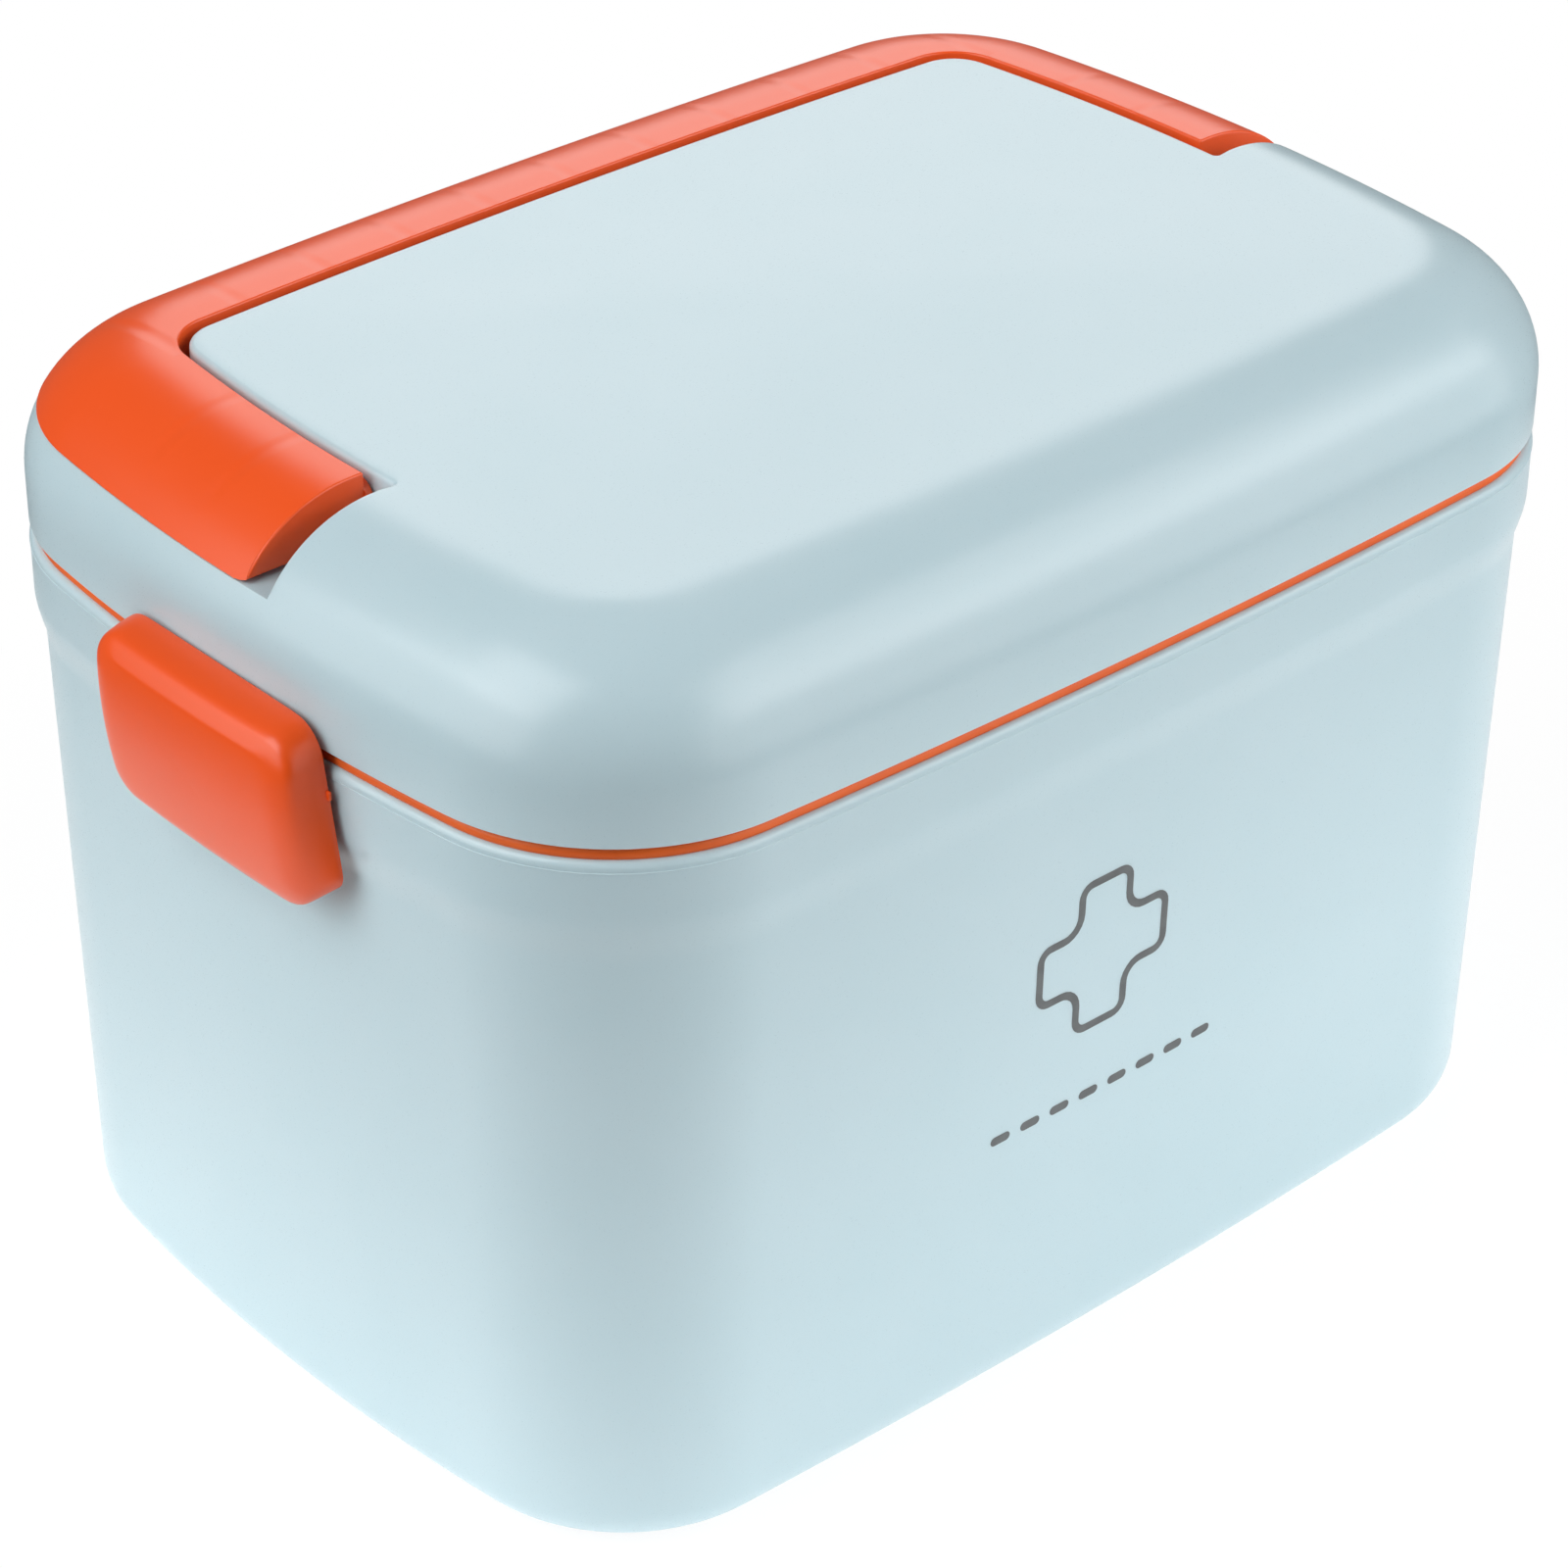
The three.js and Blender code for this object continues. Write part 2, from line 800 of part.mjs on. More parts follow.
// A rounded four-sided outline in the YZ plane, as many points each time it is drawn.
function latchOutline(size) {
  const corners = [
    { y: size.bottomHalf, z: size.bottom, radius: size.bottomRadius, up: 1 },
    { y: size.topHalf, z: size.top, radius: size.topRadius, up: -1 },
    { y: -size.topHalf, z: size.top, radius: size.topRadius, up: -1 },
    { y: -size.bottomHalf, z: size.bottom, radius: size.bottomRadius, up: 1 },
  ];
  const arcs = corners.map((corner, index) => {
    const middleY = corner.y - Math.sign(corner.y) * corner.radius;
    const middleZ = corner.z + corner.up * corner.radius;
    const points = [];
    for (let i = 0; i <= latchCornerSteps; i += 1) {
      const angle = quarterTurn * (index - 1 + i / latchCornerSteps);
      points.push(new THREE.Vector2(
        middleY + corner.radius * Math.cos(angle),
        middleZ + corner.radius * Math.sin(angle),
      ));
    }
    return points;
  });
  const outline = [];
  arcs.forEach((points, i) => {
    const next = arcs[(i + 1) % arcs.length][0];
    const last = points[points.length - 1];
    outline.push(...points);
    for (let step = 1; step < latchEdgeSteps; step += 1) {
      outline.push(last.clone().lerp(next, step / latchEdgeSteps));
    }
  });
  return outline;
}

function latchFaceU(point, lower) {
  const rise = (point.y - latchPeakHeight) ** 2 / (2 * latchFaceRadius);
  const bow = point.x ** 2 / (2 * latchBowRadius);
  return latchDepth - rise - bow - lower;
}

// The pad, from the back edge near the wall to the crowned outer face. Drawn in by
// a depth, it is the hollow behind the pad.
function latchPad(depth) {
  const back = latchOutline({
    topHalf: latchTopHalfWidth - depth,
    bottomHalf: latchBottomHalfWidth - depth,
    top: latchTop - depth,
    bottom: latchBottom + latchBackLift + depth,
    topRadius: latchTopRadius - depth,
    bottomRadius: latchBottomRadius - depth / 2,
  });
  const faceOutline = (inset) => latchOutline({
    topHalf: latchFaceHalfWidth - depth - inset,
    bottomHalf: latchFaceHalfWidth - depth - inset,
    top: latchFaceTop - depth - inset,
    bottom: latchBottom + depth + inset,
    topRadius: latchFaceTopRadius - (depth + inset) / 2,
    bottomRadius: latchFaceBottomRadius - (depth + inset) / 2,
  });
  const face = faceOutline(0);
  const centre = new THREE.Vector2(0, (latchFaceTop + latchBottom) / 2);
  const start = depth > 0 ? latchBackU - latchWall : latchBackU;
  const at = (point, u) => new THREE.Vector3(-halfWidth - u, point.x, point.y);
  const rings = [
    back.map((point) => at(point, start)),
    back.map((point) => at(point, latchBackU + latchBackFlat)),
    back.map((point, i) => {
      const mixed = point.clone().lerp(face[i], latchShoulderShare);
      return at(mixed, latchFaceU(mixed, depth) - latchShoulderLower);
    }),
    face.map((point) => at(point, latchFaceU(point, depth) - latchEdgeLower)),
    faceOutline(latchEdgeInset).map(
      (point) => at(point, latchFaceU(point, depth) - latchEdgeInnerLower),
    ),
  ];
  latchCrownShares.forEach((share) => {
    rings.push(face.map((point) => {
      const moved = centre.clone().lerp(point, share);
      return at(moved, latchFaceU(moved, depth));
    }));
  });
  return skinOver(rings.map((ring) => ring.slice().reverse()), false);
}

function makeLatch() {
  const pad = latchPad(0);
  const openBottom = box(
    [-halfWidth - latchPivotU - lugRadius - seatGap, -latchRibInner, 0],
    [0, latchRibInner, latchPivotHeight + lugRadius + seatGap],
  );
  const pinRibs = joined([-1, 1].map((side) => {
    const edges = [side * latchRibInner, side * (latchRibInner + latchRibThickness)];
    return box(
      [-halfWidth - latchDepth, Math.min(...edges), 0],
      [0, Math.max(...edges), latchPivotHeight + latchRibRise],
    );
  })).intersect(pad);
  const nib = box(
    [-halfWidth - latchBackU - nibRoot, -nibHalfWidth, latchTop - nibDrop - nibThickness],
    [-halfWidth - nibTipU, nibHalfWidth, latchTop - nibDrop],
  );
  return pad
    .subtract(latchPad(latchWall))
    .add(pinRibs)
    .subtract(openBottom)
    .add(nib)
    .subtract(latchBore(latchRibInner + latchRibThickness));
}

function makeLatchPin() {
  const centre = [-halfWidth - latchPivotU, latchPivotHeight];
  const half = latchPinHalfLength;
  return cylinder('y', -half, half, centre, latchPinRadius, pinSides);
}

// Tray

function trayOffsetAt(z) {
  return trayWallOffset - (trayDraft * (trayTop - z)) / trayDepth;
}

function trayOuterLevels() {
  const flangeBottom = trayTop - trayFlangeThickness;
  const wallOffset = trayOffsetAt(trayBottom + trayFillet);
  return [
    ...filletLevels(wallOffset, trayBottom, trayFillet, trayFilletSteps),
    { o: trayOffsetAt(flangeBottom), z: flangeBottom },
    { o: trayFlangeOffset, z: flangeBottom },
    { o: trayFlangeOffset, z: trayTop },
  ];
}

function trayInnerLevels() {
  const wallOffset = trayOffsetAt(trayFloor + trayFillet) - trayWall;
  return [
    ...filletLevels(wallOffset, trayFloor, trayFillet, trayFilletSteps),
    { o: trayOffsetAt(trayTop) - trayWall, z: trayTop },
    { o: trayOffsetAt(trayTop) - trayWall, z: farAway },
  ];
}

// The long partition rises to an arch with a finger slot, which lifts the tray.
function trayArch() {
  const base = trayTop - partitionDrop - archRise / 2;
  const top = trayTop + archRise;
  const shape = new THREE.Shape();
  shape.moveTo(-archHalfWidth, base);
  shape.lineTo(archHalfWidth, base);
  shape.lineTo(archHalfWidth, top - archCornerRadius);
  shape.absarc(
    archHalfWidth - archCornerRadius,
    top - archCornerRadius,
    archCornerRadius,
    0,
    quarterTurn,
    false,
  );
  shape.lineTo(-archHalfWidth + archCornerRadius, top);
  shape.absarc(
    -archHalfWidth + archCornerRadius,
    top - archCornerRadius,
    archCornerRadius,
    quarterTurn,
    2 * quarterTurn,
    false,
  );
  shape.closePath();
  const slot = new THREE.Path();
  const slotRadius = slotHeight / 2;
  const slotMiddle = trayTop + slotBottomAboveRim + slotRadius;
  const slotEnd = slotHalfWidth - slotRadius;
  slot.absarc(slotEnd, slotMiddle, slotRadius, -quarterTurn, quarterTurn, false);
  slot.absarc(-slotEnd, slotMiddle, slotRadius, quarterTurn, 3 * quarterTurn, false);
  slot.closePath();
  shape.holes.push(slot);
  return extrudedAlongY(shape, -archThickness / 2, archThickness / 2);
}

// Slot ribs on the front wall and on the partition, beside each divider plate.
function traySlotRibs(filledTray) {
  const slotHalf = plateThickness / 2 + plateClearance;
  const low = trayFloor - trayWall / 2;
  const high = trayTop - trayPlateDrop;
  const core = stackedSolid([
    { o: trayOffsetAt(trayTop) - trayWall - slotRibReach, z: 0 },
    { o: trayOffsetAt(trayTop) - trayWall - slotRibReach, z: farAway },
  ]);
  const halfPartition = partitionThickness / 2;
  const ribs = [];
  [-trayPlateX, trayPlateX].forEach((plateX) => {
    [-1, 1].forEach((side) => {
      const edges = [
        plateX + side * slotHalf,
        plateX + side * (slotHalf + slotRibThickness),
      ];
      const lowX = Math.min(...edges);
      const highX = Math.max(...edges);
      ribs.push(box([lowX, -farAway, low], [highX, -halfDepth / 2, high]).subtract(core));
      ribs.push(box([lowX, -halfPartition - slotRibReach, low], [highX, 0, high]));
    });
  });
  return joined(ribs).intersect(filledTray);
}

function makeTray() {
  const filled = stackedSolid(trayOuterLevels());
  const hollow = stackedSolid(trayInnerLevels());
  const half = partitionThickness / 2;
  const top = trayTop - partitionDrop;
  const low = trayFloor - trayWall / 2;
  const partitions = joined([
    box([-farAway, -half, low], [farAway, half, top]),
    box([-half, 0, low], [half, farAway, top]),
  ]).intersect(filled);
  return filled
    .subtract(hollow)
    .add(partitions)
    .add(traySlotRibs(filled))
    .add(trayArch());
}

// A divider plate of the tray, upright between the front wall and the partition.
function makeTrayPlate(x) {
  const wallY = (z) => -frontY(boxForm, trayOffsetAt(z) - trayWall, x) + plateClearance;
  const back = -partitionThickness / 2 - plateClearance;
  const low = trayFloor + seatGap;
  const high = trayTop - trayPlateDrop;
  const shape = new THREE.Shape();
  shape.moveTo(wallY(low) + trayFillet, low);
  shape.lineTo(back, low);
  shape.lineTo(back, high);
  shape.lineTo(wallY(high), high);
  shape.lineTo(wallY(low + trayFillet), low + trayFillet);
  shape.closePath();
  return extrudedAlongX(shape, x - plateThickness / 2, x + plateThickness / 2);
}

// The tub's divider plate, across the middle from the front wall to the back wall.
function makeTubPlate() {
  const wallY = (z) => frontY(boxForm, tubInnerOffsetAt(z), 0) - plateClearance;
  const low = floorThickness + seatGap;
  const high = floorThickness + tubPlateHeight;
  const shape = new THREE.Shape();
  shape.moveTo(-wallY(low) + tubPlateCorner, low);
  shape.lineTo(wallY(low) - tubPlateCorner, low);
  shape.lineTo(wallY(low + tubPlateCorner), low + tubPlateCorner);
  shape.lineTo(wallY(high), high);
  shape.lineTo(-wallY(high), high);
  shape.lineTo(-wallY(low + tubPlateCorner), low + tubPlateCorner);
  shape.closePath();
  return extrudedAlongX(shape, -plateThickness / 2, plateThickness / 2);
}

// Assembly

const medicineBox = new THREE.Group();

function addPart(name, solid, material) {
  const mesh = new THREE.Mesh(geometryFromSolid(solid), material.clone());
  mesh.name = name;
  medicineBox.add(mesh);
}

addPart('tub_shell', makeTub(), paleBlue);
addPart('seal_ring', makeSeal(), sealOrange);
addPart('lid_shell', makeLid(), paleBlue);
addPart('carry_handle', makeHandle(), orange);

const leftHandlePin = makeHandlePin();
addPart('handle_pin_left', leftHandlePin, steel);
addPart('handle_pin_right', leftHandlePin.mirror([1, 0, 0]), steel);

const leftLatch = makeLatch();
addPart('latch_left', leftLatch, orange);
addPart('latch_right', turnedToRight(leftLatch), orange);

const leftLatchPin = makeLatchPin();
addPart('latch_pin_left', leftLatchPin, steel);
addPart('latch_pin_right', turnedToRight(leftLatchPin), steel);

addPart('tray_shell', makeTray(), trayWhite);
addPart('tray_divider_left', makeTrayPlate(-trayPlateX), trayWhite);
addPart('tray_divider_right', makeTrayPlate(trayPlateX), trayWhite);
addPart('tub_divider', makeTubPlate(), trayWhite);

export default medicineBox;
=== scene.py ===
import math
import bpy
import bmesh
import numpy as np
from mathutils import Matrix, Vector


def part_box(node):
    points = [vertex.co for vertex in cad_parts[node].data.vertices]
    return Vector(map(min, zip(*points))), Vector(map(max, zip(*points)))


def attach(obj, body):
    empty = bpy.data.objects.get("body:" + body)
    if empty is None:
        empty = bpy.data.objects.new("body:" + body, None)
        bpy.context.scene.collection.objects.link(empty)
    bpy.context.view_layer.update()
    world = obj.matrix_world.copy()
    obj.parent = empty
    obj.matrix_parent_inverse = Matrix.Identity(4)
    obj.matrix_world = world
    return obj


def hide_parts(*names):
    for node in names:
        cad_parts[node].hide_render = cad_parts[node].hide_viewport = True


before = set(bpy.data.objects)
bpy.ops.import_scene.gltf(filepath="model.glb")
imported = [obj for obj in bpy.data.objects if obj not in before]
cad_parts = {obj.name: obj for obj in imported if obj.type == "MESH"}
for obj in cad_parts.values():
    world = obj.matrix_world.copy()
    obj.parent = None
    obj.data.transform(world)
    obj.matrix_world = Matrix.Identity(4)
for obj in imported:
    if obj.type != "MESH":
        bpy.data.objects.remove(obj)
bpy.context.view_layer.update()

# A medicine box: pale blue tub and domed lid, orange folding handle, latches and seal line.
# Sizes are in millimetres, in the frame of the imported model, unless a note says otherwise.
mm = 0.001
farAway = 240.0   # past every wall: cutters, and ribs that are trimmed afterwards, reach this far
past = 5.0        # how far a cutter stands clear of the face that it comes through


def cornersOf(node):
    low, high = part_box(node)
    return np.array(low) / mm, np.array(high) / mm


# The camera and the light

view = {
    "azimuth": -42.27,       # degrees, seen from the left-hand front corner
    "elevation": 31.658,
    "roll": 0.52,
    "distance": 842.8,
    "target": (0.0, 0.0, 82.6),
    "lens": 110.62,
    "sensor": 36.0,
    "shift": (-0.0060, -0.0296),
    "near": 10.0,
}


def makeCamera():
    turn, lift = math.radians(view["azimuth"]), math.radians(view["elevation"])
    level = math.cos(lift)
    back = Vector((math.sin(turn) * level, -math.cos(turn) * level, math.sin(lift)))
    right = Vector((math.cos(turn), math.sin(turn), 0))
    facing = Matrix((right, back.cross(right), back)).transposed().to_4x4()
    camera = bpy.data.objects.new("camera", bpy.data.cameras.new("camera"))
    camera.matrix_world = (
        Matrix.Translation((Vector(view["target"]) + back * view["distance"]) * mm)
        @ facing @ Matrix.Rotation(math.radians(view["roll"]), 4, "Z")
    )
    camera.data.lens = view["lens"]
    camera.data.sensor_width = view["sensor"]
    camera.data.shift_x, camera.data.shift_y = view["shift"]
    camera.data.clip_start = view["near"] * mm
    bpy.context.scene.collection.objects.link(camera)
    bpy.context.scene.camera = camera


makeCamera()
bpy.context.scene.view_settings.view_transform = "Standard"
print("camera is placed")


# Nodes: one function adds a node, for materials and geometry alike. A node that is given as an
# input stands for its first output.

def addNode(tree, kind, inputs=None, **settings):
    node = tree.nodes.new(kind)
    for key, value in settings.items():   # modes first: they decide which sockets there are
        setattr(node, key, value)
    for key, value in (inputs or {}).items():
        if isinstance(value, bpy.types.Node):
            value = value.outputs[0]
        if isinstance(value, bpy.types.NodeSocket):
            tree.links.new(value, node.inputs[key])
        else:
            node.inputs[key].default_value = value
    return node


def colour(code):
    # sRGB hex to the linear values that a shader takes
    parts = [int(code[i:i + 2], 16) / 255 for i in (1, 3, 5)]
    linear = [p / 12.92 if p <= 0.04045 else ((p + 0.055) / 1.055) ** 2.4 for p in parts]
    return (*linear, 1.0)


# Finishes. The grain of the tool is finer than a render can show, so it is drawn at about a
# quarter of a millimetre and kept very shallow.

moulding = {
    "cloudRange": (0.35, 0.65), "grainRange": (0.3, 0.7),   # of the noise, for full contrast
    "glossSpread": 0.02, "grainStrength": 0.5,
    "scatterReach": 1.8,      # how far light goes under the skin
}

finishes = {
    # ABS, injection moulded in a finely spark-eroded tool: soft highlights over a faint grain, and
    # light that goes in a little way and comes back out, so that edges and gaps stay pale
    "paleBlueMoulding": {
        "base": "#C4DAE1", "shade": "#C2D9E0", "roughness": 0.29, "ior": 1.54,
        "grain": 0.28, "grainDepth": 0.003, "cloud": 34.0, "subsurface": 0.45,
    },
    # the same resin in orange, with so much pigment that no light goes in: full colour, which
    # turns pinkish white where the light comes at a slant
    "orangeMoulding": {
        "base": "#F9591B", "shade": "#F75718", "roughness": 0.33, "ior": 1.54,
        "grain": 0.28, "grainDepth": 0.0015, "cloud": 26.0, "subsurface": 0.0,
    },
    # soft thermoplastic rubber, moulded: matt and a shade duller
    "sealRubber": {
        "base": "#F66A1C", "shade": "#EE6218", "roughness": 0.5, "ior": 1.5,
        "grain": 0.2, "grainDepth": 0.008, "cloud": 12.0, "subsurface": 0.0,
    },
    # natural polypropylene, slightly translucent: milky white with the light bleeding in a little
    "milkyMoulding": {
        "base": "#E9EEF0", "shade": "#E2E8EB", "roughness": 0.4, "ior": 1.49,
        "grain": 0.3, "grainDepth": 0.006, "cloud": 30.0, "subsurface": 0.12,
    },
    # pad-printed ink, one thin coat: flat dark grey, a little duller than the wall
    "printInk": {
        "base": "#5C5F60", "shade": "#666A6B", "roughness": 0.5, "ior": 1.45,
        "grain": 0.15, "grainDepth": 0.002, "cloud": 3.0, "subsurface": 0.0,
    },
}


def mouldedFinish(name, label=None, sinkHeight=None):
    values = finishes[name]
    material = bpy.data.materials.new(label or name)
    material.use_nodes = True
    tree = material.node_tree
    tree.nodes.clear()
    place = addNode(tree, "ShaderNodeTexCoord").outputs["Object"]
    # slow flow of the melt: the colour and the gloss drift a little over a few centimetres
    cloud = addNode(tree, "ShaderNodeTexNoise", {
        "Vector": place, "Scale": 1 / (values["cloud"] * mm), "Detail": 2.0, "Roughness": 0.5,
    })
    drift = addNode(tree, "ShaderNodeMapRange", {
        "Value": cloud.outputs["Fac"],
        "From Min": moulding["cloudRange"][0], "From Max": moulding["cloudRange"][1],
    })
    tint = addNode(tree, "ShaderNodeMix", {
        "Factor": drift.outputs["Result"], 6: colour(values["base"]), 7: colour(values["shade"]),
    }, data_type="RGBA")
    # the tool's fine grain, in octaves so that it never lines up
    grain = addNode(tree, "ShaderNodeTexNoise", {
        "Vector": place, "Scale": 1 / (values["grain"] * mm), "Detail": 3.0, "Roughness": 0.6,
    })
    gloss = addNode(tree, "ShaderNodeMapRange", {
        "Value": grain.outputs["Fac"],
        "From Min": moulding["grainRange"][0], "From Max": moulding["grainRange"][1],
        "To Min": values["roughness"] - moulding["glossSpread"],
        "To Max": values["roughness"] + moulding["glossSpread"],
    })
    bump = addNode(tree, "ShaderNodeBump", {
        "Height": grain.outputs["Fac"], "Strength": moulding["grainStrength"],
        "Distance": values["grainDepth"] * mm,
    })
    if sinkHeight:
        bump = addNode(tree, "ShaderNodeBump", {
            "Height": sinkHeight(tree, place), "Strength": 1.0,
            "Distance": sinkMarks["depth"] * mm, "Normal": bump.outputs["Normal"],
        })
    shader = addNode(tree, "ShaderNodeBsdfPrincipled", {
        "Base Color": tint.outputs[2], "Roughness": gloss.outputs["Result"],
        "IOR": values["ior"], "Normal": bump.outputs["Normal"],
        "Subsurface Weight": values["subsurface"], "Subsurface Radius": (1.0, 1.0, 1.0),
        "Subsurface Scale": moulding["scatterReach"] * mm,
    })
    addNode(tree, "ShaderNodeOutputMaterial", {"Surface": shader.outputs["BSDF"]})
    return material


sinkMarks = {
    "depth": 0.09, "halfWidth": 2.2, "backStart": 48.0,
    "armRibs": (13.0, 30.0), "pitch": 18.0,   # of the ribs, which the handle takes from here
    "fadeFrom": 163.0, "fadeTo": 168.0,   # heights: they show on the upper, inner part only
}


def handleSinks(tree, place):
    # the handle's skin sinks a hair over each rib on its underside
    split = addNode(tree, "ShaderNodeSeparateXYZ", {"Vector": place})
    gaps = []
    for y in sinkMarks["armRibs"]:
        away = addNode(tree, "ShaderNodeMath", {0: split.outputs["Y"], 1: y * mm},
                       operation="SUBTRACT")
        gaps.append(addNode(tree, "ShaderNodeMath", {0: away}, operation="ABSOLUTE"))
    onArms = addNode(tree, "ShaderNodeMath", {0: gaps[0], 1: gaps[1]}, operation="MINIMUM")
    onBack = addNode(tree, "ShaderNodeMath", {
        0: split.outputs["X"], 1: sinkMarks["pitch"] / 2 * mm,
    }, operation="PINGPONG")
    atBack = addNode(tree, "ShaderNodeMath", {
        0: split.outputs["Y"], 1: sinkMarks["backStart"] * mm,
    }, operation="GREATER_THAN")
    gap = addNode(tree, "ShaderNodeMix", {0: atBack, 2: onArms, 3: onBack})
    low = addNode(tree, "ShaderNodeMapRange", {
        "Value": gap, "From Min": 0.0, "From Max": sinkMarks["halfWidth"] * mm,
    }, interpolation_type="SMOOTHSTEP")
    upper = addNode(tree, "ShaderNodeMapRange", {
        "Value": split.outputs["Z"], "From Min": sinkMarks["fadeFrom"] * mm,
        "From Max": sinkMarks["fadeTo"] * mm,
    }, interpolation_type="SMOOTHSTEP")
    return addNode(tree, "ShaderNodeMix", {0: upper, 2: 1.0, 3: low})


wire = {
    "base": "#BFC3C7", "gloss": (0.22, 0.36), "line": 0.12, "lineDepth": 0.01,
    "lineStrength": 0.4, "stretch": (0.05, 1.0, 1.0),
}


def drawnSteel():
    # stainless wire, cold drawn: fine lines along the pin, bright but not mirror-like; the lines
    # are drawn coarser than the real ones, so that they show
    material = bpy.data.materials.new("drawnSteel")
    material.use_nodes = True
    tree = material.node_tree
    tree.nodes.clear()
    place = addNode(tree, "ShaderNodeTexCoord").outputs["Object"]
    stretch = addNode(tree, "ShaderNodeMapping", {"Vector": place, "Scale": wire["stretch"]})
    lines = addNode(tree, "ShaderNodeTexNoise", {
        "Vector": stretch.outputs["Vector"], "Scale": 1 / (wire["line"] * mm), "Detail": 2.0,
    })
    gloss = addNode(tree, "ShaderNodeMapRange", {
        "Value": lines.outputs["Fac"], "To Min": wire["gloss"][0], "To Max": wire["gloss"][1],
    })
    bump = addNode(tree, "ShaderNodeBump", {
        "Height": lines.outputs["Fac"], "Strength": wire["lineStrength"],
        "Distance": wire["lineDepth"] * mm,
    })
    shader = addNode(tree, "ShaderNodeBsdfPrincipled", {
        "Base Color": colour(wire["base"]), "Metallic": 1.0,
        "Roughness": gloss.outputs["Result"], "Normal": bump.outputs["Normal"],
    })
    addNode(tree, "ShaderNodeOutputMaterial", {"Surface": shader.outputs["BSDF"]})
    return material


paleBlue = mouldedFinish("paleBlueMoulding")
orange = mouldedFinish("orangeMoulding")
ribbedOrange = mouldedFinish("orangeMoulding", "orangeMouldingOverRibs", handleSinks)
sealOrange = mouldedFinish("sealRubber")
milky = mouldedFinish("milkyMoulding")
ink = mouldedFinish("printInk")
steel = drawnSteel()
print("finishes are mixed")


# The plan outline: two long arcs, two short arcs and round corners

plan = {
    "halfWidth": 118.0, "halfDepth": 84.5,
    "sideRadius": 404.0, "frontRadius": 1780.0, "cornerRadius": 36.9,
    "sideSteps": 26, "cornerSteps": 30, "frontSteps": 44,   # of a quarter, about 2 mm each
}


def insetForm(form, side, back, corner):
    return {
        **form,
        "halfWidth": form["halfWidth"] - side, "halfDepth": form["halfDepth"] - back,
        "sideRadius": form["sideRadius"] - side, "frontRadius": form["frontRadius"] - back,
        "cornerRadius": corner,
    }


def arcCentres(form):
    # middles of the side arc, the corner arc and the long arc
    side = np.array([form["halfWidth"] - form["sideRadius"], 0.0])
    front = np.array([0.0, form["halfDepth"] - form["frontRadius"]])
    sideReach = form["sideRadius"] - form["cornerRadius"]
    frontReach = form["frontRadius"] - form["cornerRadius"]
    between = front - side
    span = np.linalg.norm(between)
    along = (span ** 2 + sideReach ** 2 - frontReach ** 2) / (2 * span)
    across = math.sqrt(sideReach ** 2 - along ** 2)
    unit = between / span
    return side, side + unit * along + np.array([-unit[1], unit[0]]) * across, front


def quarterOutline(form):
    # points and outward directions from the +X axis to the +Y axis
    side, corner, front = arcCentres(form)
    sideEnd = math.atan2(corner[1], corner[0] - side[0])
    frontStart = math.atan2(corner[1] - front[1], corner[0])
    places, outwards = [], []
    for centre, radius, start, end, steps, first in (
        (side, form["sideRadius"], 0, sideEnd, form["sideSteps"], 0),
        (corner, form["cornerRadius"], sideEnd, frontStart, form["cornerSteps"], 1),
        (front, form["frontRadius"], frontStart, math.pi / 2, form["frontSteps"], 1),
    ):
        angles = start + (end - start) * np.arange(first, steps + 1) / steps
        way = np.stack([np.cos(angles), np.sin(angles)], 1)
        places.append(centre + radius * way)
        outwards.append(way)
    return np.concatenate(places), np.concatenate(outwards)


def mirrored(points):
    # a quarter's points to the whole outline, counter-clockwise from above
    left, down = np.array([-1, 1]), np.array([1, -1])
    return np.concatenate([
        points, points[-2::-1] * left, points[1:] * left * down, points[-2:0:-1] * down,
    ])


quarterPoints, quarterWays = quarterOutline(plan)
outlinePoints, outlineWays = mirrored(quarterPoints), mirrored(quarterWays)


def ring(offset, z, share=1.0):
    flat = (outlinePoints + outlineWays * offset) * share
    return np.column_stack([flat, np.full(len(flat), z)])


def offsetOf(points):
    # how far outside the plan outline a point lies, negative inside
    side, corner, front = arcCentres(plan)
    places = np.abs(points)
    sideGap = np.linalg.norm(places - side, axis=1) - plan["sideRadius"]
    frontGap = np.linalg.norm(places - front, axis=1) - plan["frontRadius"]
    cornerGap = np.linalg.norm(places - corner, axis=1) - plan["cornerRadius"]
    fromCorner = places - corner
    turn = np.arctan2(fromCorner[:, 1], fromCorner[:, 0])
    sideEnd = math.atan2(corner[1], corner[0] - side[0])
    frontStart = math.atan2(corner[1] - front[1], corner[0])
    inCorner = (turn > sideEnd) & (turn < frontStart)
    return np.where(inCorner, cornerGap, np.maximum(sideGap, frontGap))


# Meshes

def meshFrom(rings, loop=False, flatEnds=False):
    # joins rings of points into one closed skin, with a middle point over each open end, or one
    # flat face where the outline bends inwards
    count = len(rings[0])
    points = [tuple(p) for r in rings for p in r]
    faces = []
    last = (len(rings) - 1) * count
    for level in range(len(rings) if loop else len(rings) - 1):
        low, high = level * count, ((level + 1) % len(rings)) * count
        for i in range(count):
            after = (i + 1) % count
            faces.append((low + i, low + after, high + after, high + i))
    if flatEnds:
        faces += [tuple(range(count))[::-1], tuple(range(last, last + count))]
    elif not loop:
        for start, ends, flip in ((0, rings[0], True), (last, rings[-1], False)):
            middle = len(points)
            points.append(tuple(np.mean(ends, axis=0)))
            for i in range(count):
                pair = (start + i, start + (i + 1) % count)
                faces.append((middle, *(pair[::-1] if flip else pair)))
    mesh = bpy.data.meshes.new("skin")
    mesh.from_pydata([tuple(c * mm for c in p) for p in points], [], faces)
    return mesh


